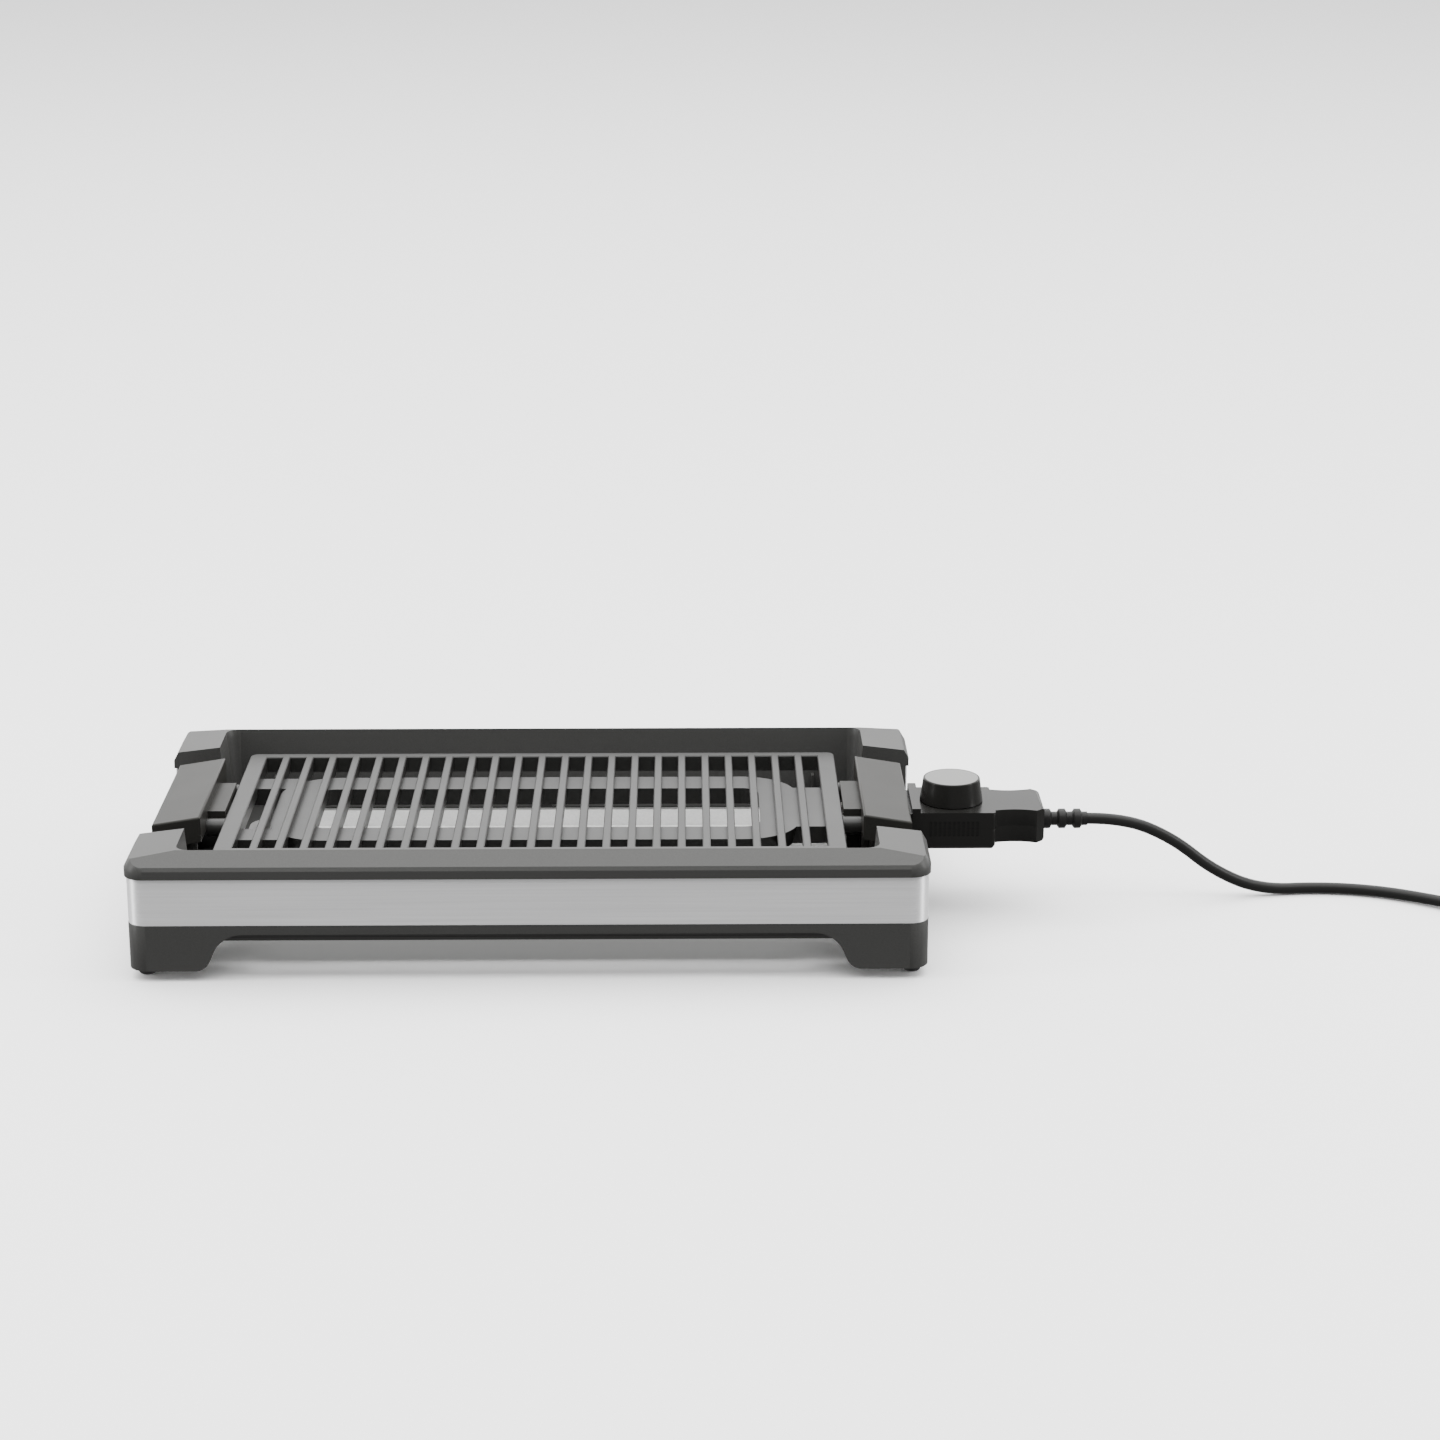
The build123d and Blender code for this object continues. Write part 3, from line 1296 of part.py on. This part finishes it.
with BuildPart() as plug_pins:
    with BuildSketch(plug_plane.offset(plug_neck_length + plug_length - plug_pin_root + fit_gap)):
        with Locations((-plug_pin_spread / 2, 0), (plug_pin_spread / 2, 0)):
            Circle(plug_pin_diameter / 2)
    extrude(amount=plug_pin_root + plug_pin_length)
    fillet(plug_pins.edges().group_by(Axis.Y)[-1], radius=plug_pin_diameter / 4)
save(plug_pins, "plug_pins")
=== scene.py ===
import json
import math

import bmesh
import bpy
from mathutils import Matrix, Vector


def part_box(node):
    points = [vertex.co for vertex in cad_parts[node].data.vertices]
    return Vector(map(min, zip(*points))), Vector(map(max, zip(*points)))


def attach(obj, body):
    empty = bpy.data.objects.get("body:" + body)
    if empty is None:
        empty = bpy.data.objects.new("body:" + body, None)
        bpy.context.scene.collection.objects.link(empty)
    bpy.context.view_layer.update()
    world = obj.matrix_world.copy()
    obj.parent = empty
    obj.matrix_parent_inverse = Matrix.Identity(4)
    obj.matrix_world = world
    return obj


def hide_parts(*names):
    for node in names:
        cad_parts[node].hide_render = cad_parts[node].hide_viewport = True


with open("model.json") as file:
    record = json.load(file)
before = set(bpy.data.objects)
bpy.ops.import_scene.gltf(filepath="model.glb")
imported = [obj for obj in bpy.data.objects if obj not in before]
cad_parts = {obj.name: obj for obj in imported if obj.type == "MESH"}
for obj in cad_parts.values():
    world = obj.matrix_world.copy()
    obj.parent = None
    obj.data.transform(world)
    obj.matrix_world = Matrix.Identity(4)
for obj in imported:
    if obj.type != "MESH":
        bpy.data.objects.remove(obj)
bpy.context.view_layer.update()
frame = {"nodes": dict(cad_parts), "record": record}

MM = 0.001

# Camera of the photograph: place, downward tilt, turn and lens
CAMERA_PLACE = (0.0898, -1.9055, 0.6989)
CAMERA_TILT = 17.0
CAMERA_TURN = -0.63
CAMERA_LENS = 83.05
SENSOR_WIDTH = 36.0

# Mains lead in millimetres: route points as (distance past the strain relief, y, z), then the coil
CORD_DIAMETER = 7.0
CORD_ROUNDNESS = 5
CORD_STEPS = 8
LEAD_IN = 23.0
LEAD_ROUTE = [
    (53.0, 1.0, 40.0),
    (79.0, 4.0, 18.0),
    (109.0, 9.0, 3.7),
    (147.0, 13.0, 3.7),
    (181.0, 6.0, 3.8),
    (212.0, -12.0, 4.2),
    (241.0, -35.0, 4.9),
]
COIL_OFFSET = 277.0
COIL_Y = 10.0
COIL_RADIUS = 45.0
COIL_PITCH = 9.0
COIL_HALF_TURNS = 4
COIL_RISE = 7.7
COIL_FLOOR = 1.4
COIL_TAIL = 44.0
POINTS_PER_HALF_TURN = 9

# Edge rounds of the moulded pieces, in millimetres and degrees
FRAME_EDGE = 0.7
SHELL_EDGE = 0.3
EDGE_SEGMENTS = 2
EDGE_ANGLE = 32.0
MERGE_DISTANCE = 0.002

# Domed screws with a cross recess, in millimetres
SCREW_SIDES = 32
DOME_SIDES = 48
SCREW_SIZES = {
    "Head diameter": 6.0,
    "Head height": 2.0,
    "Dome radius": 5.5,
    "Shank diameter": 3.0,
    "Recess length": 3.2,
    "Recess width": 0.8,
    "Recess depth": 1.2,
}

# Fine surface of the finishes: noise scales per metre, the relief's depth in millimetres, and
# how far the roughness (drift, depth) and the tone (spread) sway
NOISE_MEAN = 0.5
RELIEF_DEPTH = 0.05
GRAIN_DETAIL = 2.0
DRIFT_SCALE = 22.0
DRIFT_DETAIL = 3.0
MOULD_SCALE = 1800.0
MOULD_BUMP = 0.25
MOULD_DRIFT = 0.08
MOULD_SPREAD = 0.25
COAT_SCALE = 900.0
COAT_BUMP = 0.35
COAT_DRIFT = 0.1
COAT_SPREAD = 0.15
LINE_STRETCH = (0.01, 0.8, 1.0)
LINE_DETAIL = 3.0
LINE_SCALE = 900.0
LINE_BUMP = 0.15
LINE_DEPTH = 0.12
LINE_SPREAD = 0.12
BRUSH_TURN = 0.25

# Studio floor and softboxes, in metres and watts
FLOOR_REACH = 30.0
FLOOR_TONE = (0.9, 0.9, 0.9, 1.0)
FLOOR_ROUGHNESS = 0.9
OVERHEAD_PLACE = (0.0, 0.1, 4.0)
OVERHEAD_AIM = (0.0, 0.0, 0.0)
OVERHEAD_SIZE = (7.0, 7.0)
OVERHEAD_POWER = 640.0
LEFT_STRIP_PLACE = (-1.75, -0.35, 0.75)
LEFT_STRIP_AIM = (0.0, 0.0, 0.1)
RIGHT_STRIP_PLACE = (1.95, -0.35, 0.75)
RIGHT_STRIP_AIM = (0.1, 0.0, 0.1)
STRIP_SIZE = (0.25, 1.5)
STRIP_POWER = 26.0

# Room's brightness in front, behind and below, and the span of direction over which it changes
ROOM_FRONT = 0.5
ROOM_REAR = 2.8
ROOM_BELOW = 0.6
FRONT_TO_REAR = (-0.5, 0.8)
BELOW_TO_ABOVE = (-0.12, 0.04)


# Shader effects that several finishes share


def new_group(name, inputs, outputs):
    """An empty shader group with named float sockets."""
    group = bpy.data.node_groups.new(name, "ShaderNodeTree")
    for socket in inputs:
        group.interface.new_socket(socket, in_out="INPUT", socket_type="NodeSocketFloat")
    for socket in outputs:
        group.interface.new_socket(socket, in_out="OUTPUT", socket_type="NodeSocketFloat")
    return group, group.nodes.new("NodeGroupInput"), group.nodes.new("NodeGroupOutput")


def swayed_roughness(group, given, field, sway_socket):
    """Roughness that sways about the given mean with a noise field."""
    nodes, links = group.nodes, group.links
    centred = nodes.new("ShaderNodeMath")
    centred.operation = "SUBTRACT"
    centred.inputs[1].default_value = NOISE_MEAN
    swayed = nodes.new("ShaderNodeMath")
    swayed.operation = "MULTIPLY_ADD"
    links.new(field.outputs["Fac"], centred.inputs[0])
    links.new(centred.outputs[0], swayed.inputs[0])
    links.new(given.outputs[sway_socket], swayed.inputs[1])
    links.new(given.outputs["Mean roughness"], swayed.inputs[2])
    return swayed


def mould_grain_group():
    """Fine eroded grain of a mould or a sprayed coat, whose roughness drifts slowly."""
    group, given, result = new_group(
        "Mould grain",
        ["Grain scale", "Mean roughness", "Roughness drift"],
        ["Height", "Roughness", "Tone"],
    )
    nodes, links = group.nodes, group.links
    coordinate = nodes.new("ShaderNodeTexCoord")
    grain = nodes.new("ShaderNodeTexNoise")
    grain.inputs["Detail"].default_value = GRAIN_DETAIL
    drift = nodes.new("ShaderNodeTexNoise")
    drift.inputs["Scale"].default_value = DRIFT_SCALE
    drift.inputs["Detail"].default_value = DRIFT_DETAIL
    links.new(coordinate.outputs["Object"], grain.inputs["Vector"])
    links.new(coordinate.outputs["Object"], drift.inputs["Vector"])
    links.new(given.outputs["Grain scale"], grain.inputs["Scale"])
    swayed = swayed_roughness(group, given, drift, "Roughness drift")
    links.new(grain.outputs["Fac"], result.inputs["Height"])
    links.new(swayed.outputs[0], result.inputs["Roughness"])
    links.new(grain.outputs["Fac"], result.inputs["Tone"])
    return group


def drawn_lines_group():
    """Fine lines along X, as rolling or brushing leaves them."""
    group, given, result = new_group(
        "Drawn lines",
        ["Line scale", "Mean roughness", "Line depth"],
        ["Height", "Roughness", "Tone"],
    )
    nodes, links = group.nodes, group.links
    coordinate = nodes.new("ShaderNodeTexCoord")
    stretch = nodes.new("ShaderNodeMapping")
    stretch.inputs["Scale"].default_value = LINE_STRETCH
    lines = nodes.new("ShaderNodeTexNoise")
    lines.inputs["Detail"].default_value = LINE_DETAIL
    links.new(coordinate.outputs["Object"], stretch.inputs["Vector"])
    links.new(stretch.outputs["Vector"], lines.inputs["Vector"])
    links.new(given.outputs["Line scale"], lines.inputs["Scale"])
    swayed = swayed_roughness(group, given, lines, "Line depth")
    links.new(lines.outputs["Fac"], result.inputs["Height"])
    links.new(swayed.outputs[0], result.inputs["Roughness"])
    links.new(lines.outputs["Fac"], result.inputs["Tone"])
    return group


MOULD_GRAIN = mould_grain_group()
DRAWN_LINES = drawn_lines_group()


def finish_material(name, tones, metallic, effect, values, bump, specular=0.5, brushed=0.0):
    """A finish whose tone, roughness and fine relief come from one shared effect."""
    material = bpy.data.materials.new(name)
    material.use_nodes = True
    nodes, links = material.node_tree.nodes, material.node_tree.links
    shader = nodes["Principled BSDF"]
    shader.inputs["Metallic"].default_value = metallic
    shader.inputs["Specular IOR Level"].default_value = specular
    shader.inputs["Anisotropic"].default_value = brushed
    shader.inputs["Anisotropic Rotation"].default_value = BRUSH_TURN
    surface = nodes.new("ShaderNodeGroup")
    surface.node_tree = effect
    for socket, value in values.items():
        surface.inputs[socket].default_value = value
    tint = nodes.new("ShaderNodeMix")
    tint.data_type = "RGBA"
    tint.inputs["A"].default_value = (*tones[0], 1.0)
    tint.inputs["B"].default_value = (*tones[1], 1.0)
    relief = nodes.new("ShaderNodeBump")
    relief.inputs["Strength"].default_value = bump
    relief.inputs["Distance"].default_value = RELIEF_DEPTH * MM
    links.new(surface.outputs["Tone"], tint.inputs["Factor"])
    links.new(tint.outputs["Result"], shader.inputs["Base Color"])
    links.new(surface.outputs["Roughness"], shader.inputs["Roughness"])
    links.new(surface.outputs["Height"], relief.inputs["Height"])
    links.new(relief.outputs["Normal"], shader.inputs["Normal"])
    return material


def two_tones(colour, spread):
    """The darkest and the lightest tone of a colour that sways by the spread."""
    return [tuple(channel * share for channel in colour) for share in (1 - spread, 1 + spread)]


def moulded(name, colour, roughness, specular=0.3):
    """Plastic, rubber or ceramic from a grained mould."""
    tones = two_tones(colour, MOULD_SPREAD)
    values = {
        "Grain scale": MOULD_SCALE,
        "Mean roughness": roughness,
        "Roughness drift": MOULD_DRIFT,
    }
    return finish_material(name, tones, 0.0, MOULD_GRAIN, values, MOULD_BUMP, specular)


def coated(name, colour, metallic, roughness, scale=COAT_SCALE, bump=COAT_BUMP, specular=0.4):
    """Metal with a sprayed, blackened or satin surface."""
    tones = two_tones(colour, COAT_SPREAD)
    values = {
        "Grain scale": scale,
        "Mean roughness": roughness,
        "Roughness drift": COAT_DRIFT,
    }
    return finish_material(name, tones, metallic, MOULD_GRAIN, values, bump, specular)


def drawn(name, colour, roughness, brushed=0.0):
    """Bare metal with the fine lines of drawing, rolling or brushing."""
    tones = two_tones(colour, LINE_SPREAD)
    values = {
        "Line scale": LINE_SCALE,
        "Mean roughness": roughness,
        "Line depth": LINE_DEPTH,
    }
    return finish_material(name, tones, 1.0, DRAWN_LINES, values, LINE_BUMP, brushed=brushed)


FINISHES = {
    "frame_plastic": moulded("Grey moulded frame", (0.047, 0.047, 0.0453), 0.38, specular=0.16),
    "band_steel": drawn("Brushed band", (0.84, 0.84, 0.845), 0.5, brushed=0.8),
    "foot_rubber": moulded("Foot rubber", (0.02, 0.02, 0.02), 0.75),
    "plain_steel": drawn("Drawn steel", (0.5, 0.49, 0.48), 0.3),
    "tray_aluminium": coated(
        "Satin tray sheet", (0.66, 0.66, 0.65), 0.9, 0.42, scale=700.0, bump=0.1
    ),
    "plate_casting": coated("Coated casting", (0.02, 0.02, 0.0188), 0.0, 0.36, specular=0.3),
    "heater_steel": drawn("Element tube", (0.22, 0.21, 0.2), 0.5),
    "white_ceramic": moulded("Ceramic", (0.72, 0.7, 0.66), 0.6, specular=0.5),
    "handle_plastic": moulded("Black handle", (0.021, 0.0205, 0.0186), 0.34, specular=0.08),
    "probe_plastic": moulded("Black probe", (0.011, 0.0108, 0.01), 0.24, specular=0.12),
    "bright_disc": drawn("Dial disc", (0.22, 0.22, 0.214), 0.38),
    "contact_brass": drawn("Contact brass", (0.66, 0.48, 0.22), 0.35),
    "cord_rubber": moulded("Lead sheath", (0.013, 0.0128, 0.0124), 0.36, specular=0.16),
    "pin_nickel": drawn("Nickel pin", (0.66, 0.64, 0.6), 0.22),
}

ROD_FINISH = drawn("Dull rod", (0.24, 0.235, 0.228), 0.34)
SCREW_FINISH = coated("Blackened screw", (0.09, 0.088, 0.085), 1.0, 0.4)

slot_of = {entry["node"]: entry["material_slot"] for entry in frame["record"]["subparts"]}
own_finish = {"probe_rod": ROD_FINISH, "handle_screws": SCREW_FINISH}
for node_name, node in frame["nodes"].items():
    node.data.materials.clear()
    node.data.materials.append(own_finish.get(node_name, FINISHES[slot_of[node_name]]))


def round_edges(node_name, width):
    """Small rounds on the sharp edges of one solid."""
    node = frame["nodes"][node_name]
    weld = node.modifiers.new("Joined faces", "WELD")
    weld.merge_threshold = MERGE_DISTANCE * MM
    bevel = node.modifiers.new("Edge rounds", "BEVEL")
    bevel.width = width * MM
    bevel.segments = EDGE_SEGMENTS
    bevel.limit_method = "ANGLE"
    bevel.angle_limit = math.radians(EDGE_ANGLE)
    bevel.use_clamp_overlap = True
    bevel.harden_normals = True


for moulding in ("upper_frame", "lower_frame", "handle_left", "handle_right"):
    round_edges(moulding, FRAME_EDGE)
for shell in ("probe_housing_lower", "probe_housing_upper"):
    round_edges(shell, SHELL_EDGE)


# Screws of the frames and of the probe housing, heads downwards


def separate_boxes(node_name):
    """Lowest and highest corner of each separate solid in one CAD node."""
    merged = bmesh.new()
    merged.from_mesh(frame["nodes"][node_name].data)
    bmesh.ops.remove_doubles(merged, verts=merged.verts, dist=MERGE_DISTANCE * MM)
    waiting = set(merged.verts)
    boxes = []
    while waiting:
        island = [waiting.pop()]
        for vertex in island:
            near = {edge.other_vert(vertex) for edge in vertex.link_edges} & waiting
            waiting -= near
            island += near
        low = Vector([min(vertex.co[axis] for vertex in island) for axis in range(3)])
        high = Vector([max(vertex.co[axis] for vertex in island) for axis in range(3)])
        boxes.append((low, high))
    merged.free()
    return sorted(boxes, key=lambda corners: tuple(corners[0]))


def screw_tree():
    """Geometry nodes that stand a cross-recess screw, head downwards, on each point."""
    tree = bpy.data.node_groups.new("Cross-recess screws", "GeometryNodeTree")
    tree.interface.new_socket("Geometry", in_out="INPUT", socket_type="NodeSocketGeometry")
    for size in (*SCREW_SIZES, "Screw length"):
        tree.interface.new_socket(size, in_out="INPUT", socket_type="NodeSocketFloat")
    tree.interface.new_socket("Finish", in_out="INPUT", socket_type="NodeSocketMaterial")
    tree.interface.new_socket("Geometry", in_out="OUTPUT", socket_type="NodeSocketGeometry")
    nodes, links = tree.nodes, tree.links
    given = nodes.new("NodeGroupInput")
    result = nodes.new("NodeGroupOutput")

    def scaled(socket, factor):
        math_node = nodes.new("ShaderNodeMath")
        math_node.operation = "MULTIPLY"
        links.new(socket, math_node.inputs[0])
        math_node.inputs[1].default_value = factor
        return math_node.outputs[0]

    def vector(x, y, z):
        combine = nodes.new("ShaderNodeCombineXYZ")
        for socket, source in zip(combine.inputs, (x, y, z)):
            if source is not None:
                links.new(source, socket)
        return combine.outputs[0]

    def moved(geometry, z):
        shift = nodes.new("GeometryNodeTransform")
        links.new(geometry, shift.inputs["Geometry"])
        links.new(vector(None, None, z), shift.inputs["Translation"])
        return shift.outputs["Geometry"]

    def upright_cylinder(diameter, height):
        cylinder = nodes.new("GeometryNodeMeshCylinder")
        cylinder.inputs["Vertices"].default_value = SCREW_SIDES
        links.new(scaled(diameter, 0.5), cylinder.inputs["Radius"])
        links.new(height, cylinder.inputs["Depth"])
        return moved(cylinder.outputs["Mesh"], scaled(height, 0.5))

    def combined(operation, first, *others):
        boolean = nodes.new("GeometryNodeMeshBoolean")
        boolean.operation = operation
        boolean.solver = "EXACT"
        links.new(first, boolean.inputs["Mesh 1" if operation == "DIFFERENCE" else "Mesh 2"])
        for other in others:
            links.new(other, boolean.inputs["Mesh 2"])
        return boolean.outputs["Mesh"]

    def slot_block(x, y):
        block = nodes.new("GeometryNodeMeshCube")
        links.new(vector(x, y, scaled(given.outputs["Recess depth"], 2.0)), block.inputs["Size"])
        return block.outputs["Mesh"]

    dome = nodes.new("GeometryNodeMeshUVSphere")
    dome.inputs["Segments"].default_value = DOME_SIDES
    dome.inputs["Rings"].default_value = DOME_SIDES
    links.new(given.outputs["Dome radius"], dome.inputs["Radius"])
    domed = combined(
        "INTERSECT",
        upright_cylinder(given.outputs["Head diameter"], given.outputs["Head height"]),
        moved(dome.outputs["Mesh"], given.outputs["Dome radius"]),
    )
    head = combined(
        "DIFFERENCE",
        domed,
        slot_block(given.outputs["Recess length"], given.outputs["Recess width"]),
        slot_block(given.outputs["Recess width"], given.outputs["Recess length"]),
    )
    below_head = nodes.new("ShaderNodeMath")
    below_head.operation = "SUBTRACT"
    links.new(given.outputs["Screw length"], below_head.inputs[0])
    links.new(given.outputs["Head height"], below_head.inputs[1])
    shank = upright_cylinder(given.outputs["Shank diameter"], below_head.outputs[0])
    screw = nodes.new("GeometryNodeJoinGeometry")
    links.new(moved(shank, given.outputs["Head height"]), screw.inputs["Geometry"])
    links.new(head, screw.inputs["Geometry"])
    place = nodes.new("GeometryNodeInstanceOnPoints")
    links.new(given.outputs["Geometry"], place.inputs["Points"])
    links.new(screw.outputs["Geometry"], place.inputs["Instance"])
    real = nodes.new("GeometryNodeRealizeInstances")
    links.new(place.outputs["Instances"], real.inputs["Geometry"])
    finish = nodes.new("GeometryNodeSetMaterial")
    links.new(real.outputs["Geometry"], finish.inputs["Geometry"])
    links.new(given.outputs["Finish"], finish.inputs["Material"])
    links.new(finish.outputs["Geometry"], result.inputs["Geometry"])
    return tree


def make_screws(tree, node_name, body):
    """Detailed screws in place of one CAD node's plain ones."""
    boxes = separate_boxes(node_name)
    places = [((low.x + high.x) / 2, (low.y + high.y) / 2, low.z) for low, high in boxes]
    mesh = bpy.data.meshes.new(node_name + "_points")
    mesh.from_pydata(places, [], [])
    screws = bpy.data.objects.new(node_name + "_detailed", mesh)
    bpy.context.scene.collection.objects.link(screws)
    sizes = {name: value * MM for name, value in SCREW_SIZES.items()}
    sizes["Screw length"] = boxes[0][1].z - boxes[0][0].z
    modifier = screws.modifiers.new("Screws", "NODES")
    modifier.node_group = tree
    for item in tree.interface.items_tree:
        if item.in_out == "INPUT" and item.name in sizes:
            modifier[item.identifier] = sizes[item.name]
        if item.name == "Finish":
            modifier[item.identifier] = SCREW_FINISH
    depsgraph = bpy.context.evaluated_depsgraph_get()
    plain = bpy.data.meshes.new_from_object(screws.evaluated_get(depsgraph))
    screws.modifiers.clear()
    screws.data = plain
    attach(screws, body)
    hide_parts(node_name)


SCREW_TREE = screw_tree()
make_screws(SCREW_TREE, "frame_screws", "base")
make_screws(SCREW_TREE, "probe_screws", "probe")


# Mains lead


def tangent_corners(start, end, heading, points):
    """Corners of the lines that touch a flat half circle from start to end."""
    centre = (start + end) / 2
    radial = start - centre
    radius = radial.length
    step = math.pi / points
    reach = radius / math.cos(step / 2)
    corners = []
    for index in range(points):
        angle = (index + 0.5) * step
        outward = radial / radius * (reach * math.cos(angle))
        corner = centre + outward + heading * (reach * math.sin(angle))
        corner.z = start.z + (end.z - start.z) * (index + 0.5) / points
        corners.append(corner)
    return corners


def lead_points():
    """Control points of the whole lead, from the strain relief to the plug."""
    relief_low, relief_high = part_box("strain_relief")
    exit_x = relief_high[0] / MM
    cord_z = (relief_low[2] + relief_high[2]) / 2 / MM
    low_layer = COIL_FLOOR + CORD_DIAMETER / 2
    high_layer = low_layer + COIL_RISE
    coil_x = exit_x + COIL_OFFSET
    points = [Vector((exit_x, 0.0, cord_z)), Vector((exit_x + LEAD_IN, 0.0, cord_z))]
    points += [Vector((exit_x + past, y, z)) for past, y, z in LEAD_ROUTE]
    here = Vector((coil_x, COIL_Y - COIL_RADIUS, low_layer))
    heading = Vector((1.0, 0.0, 0.0))
    side = -1.0
    reach = COIL_RADIUS
    layers = [(-COIL_PITCH / 2, low_layer)] * COIL_HALF_TURNS
    layers += [(0.0, high_layer)]
    layers += [(COIL_PITCH / 2, high_layer)] * (COIL_HALF_TURNS - 1)
    for growth, layer in layers:
        side = -side
        reach += growth
        there = Vector((coil_x, COIL_Y + side * reach, layer))
        points += tangent_corners(here, there, heading, POINTS_PER_HALF_TURN)
        here = there
        heading = -heading
    radius = COIL_RADIUS - COIL_PITCH / 4
    far_side = Vector((coil_x, here.y + 2 * radius, high_layer))
    quarter = tangent_corners(here, far_side, heading, 2 * (POINTS_PER_HALF_TURN // 2))
    points += quarter[: POINTS_PER_HALF_TURN // 2]
    tail = Vector((coil_x + radius, here.y + radius, high_layer))
    points.append(tail + Vector((0.0, COIL_TAIL, 0.0)))
    return [point * MM for point in points]


def curve_length(lead):
    """Length of the lead's drawn centreline."""
    depsgraph = bpy.context.evaluated_depsgraph_get()
    plain = lead.copy()
    plain.data = lead.data.copy()
    plain.data.bevel_depth = 0.0
    bpy.context.scene.collection.objects.link(plain)
    depsgraph.update()
    mesh = plain.evaluated_get(depsgraph).to_mesh()
    total = 0.0
    for edge in mesh.edges:
        first, last = (mesh.vertices[index].co for index in edge.vertices)
        total += (first - last).length
    bpy.data.objects.remove(plain)
    return total


def make_lead():
    """The whole lead as one round curve, in place of its CAD stand-ins."""
    points = lead_points()
    curve = bpy.data.curves.new("mains_lead", "CURVE")
    curve.dimensions = "3D"
    curve.bevel_depth = CORD_DIAMETER / 2 * MM
    curve.bevel_resolution = CORD_ROUNDNESS
    curve.resolution_u = CORD_STEPS
    curve.use_fill_caps = True
    spline = curve.splines.new("NURBS")
    spline.points.add(len(points) - 1)
    for control, point in zip(spline.points, points):
        control.co = (*point, 1.0)
    spline.order_u = 3
    spline.use_endpoint_u = True
    lead = bpy.data.objects.new("mains_lead", curve)
    bpy.context.scene.collection.objects.link(lead)
    curve.materials.append(FINISHES["cord_rubber"])
    length = curve_length(lead)
    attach(lead, "probe")
    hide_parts("cord_lead", "cord_coil")


make_lead()


# Studio: pale floor, soft light from above and the sides, camera of the photograph


def add_floor():
    """A pale floor that takes shadows but neither lights the grill nor shows in its gloss."""
    mesh = bpy.data.meshes.new("floor")
    reach = FLOOR_REACH
    corners = [(-reach, -reach, 0), (reach, -reach, 0), (reach, reach, 0), (-reach, reach, 0)]
    mesh.from_pydata(corners, [], [(0, 1, 2, 3)])
    floor = bpy.data.objects.new("floor", mesh)
    bpy.context.scene.collection.objects.link(floor)
    material = bpy.data.materials.new("Pale floor")
    material.use_nodes = True
    shader = material.node_tree.nodes["Principled BSDF"]
    shader.inputs["Base Color"].default_value = FLOOR_TONE
    shader.inputs["Roughness"].default_value = FLOOR_ROUGHNESS
    mesh.materials.append(material)
    floor.visible_diffuse = False
    floor.visible_glossy = False
    return floor


def add_softbox(name, place, aim, size, power):
    """A soft rectangular light turned towards its aim."""
    light = bpy.data.lights.new(name, "AREA")
    light.shape = "RECTANGLE"
    light.size, light.size_y = size
    light.energy = power
    lamp = bpy.data.objects.new(name, light)
    lamp.location = place
    lamp.rotation_euler = (Vector(aim) - Vector(place)).to_track_quat("-Z", "Y").to_euler()
    lamp.visible_camera = False
    bpy.context.scene.collection.objects.link(lamp)


def add_world():
    """A studio room that is dim below and in front of the grill and bright behind it."""
    world = bpy.data.worlds.new("Studio")
    world.use_nodes = True
    nodes, links = world.node_tree.nodes, world.node_tree.links
    background = nodes["Background"]
    background.inputs["Color"].default_value = (1.0, 1.0, 1.0, 1.0)
    direction = nodes.new("ShaderNodeTexCoord")
    split = nodes.new("ShaderNodeSeparateXYZ")
    fade = nodes.new("ShaderNodeMapRange")
    fade.interpolation_type = "SMOOTHSTEP"
    fade.inputs["From Min"].default_value = FRONT_TO_REAR[0]
    fade.inputs["From Max"].default_value = FRONT_TO_REAR[1]
    fade.inputs["To Min"].default_value = ROOM_FRONT
    fade.inputs["To Max"].default_value = ROOM_REAR
    horizon = nodes.new("ShaderNodeMapRange")
    horizon.inputs["From Min"].default_value = BELOW_TO_ABOVE[0]
    horizon.inputs["From Max"].default_value = BELOW_TO_ABOVE[1]
    room = nodes.new("ShaderNodeMix")
    room.inputs["A"].default_value = ROOM_BELOW
    links.new(direction.outputs["Generated"], split.inputs["Vector"])
    links.new(split.outputs["Y"], fade.inputs["Value"])
    links.new(split.outputs["Z"], horizon.inputs["Value"])
    links.new(horizon.outputs["Result"], room.inputs["Factor"])
    links.new(fade.outputs["Result"], room.inputs["B"])
    links.new(room.outputs["Result"], background.inputs["Strength"])
    bpy.context.scene.world = world


def add_camera():
    """The camera of the photograph."""
    camera = bpy.data.cameras.new("photograph")
    camera.sensor_width = SENSOR_WIDTH
    camera.lens = CAMERA_LENS
    holder = bpy.data.objects.new("photograph", camera)
    holder.location = CAMERA_PLACE
    holder.rotation_euler = (math.radians(90.0 - CAMERA_TILT), 0.0, math.radians(CAMERA_TURN))
    bpy.context.scene.collection.objects.link(holder)
    bpy.context.scene.camera = holder


floor = add_floor()
add_softbox("overhead softbox", OVERHEAD_PLACE, OVERHEAD_AIM, OVERHEAD_SIZE, OVERHEAD_POWER)
add_softbox("left strip", LEFT_STRIP_PLACE, LEFT_STRIP_AIM, STRIP_SIZE, STRIP_POWER)
add_softbox("right strip", RIGHT_STRIP_PLACE, RIGHT_STRIP_AIM, STRIP_SIZE, STRIP_POWER)
add_world()
add_camera()
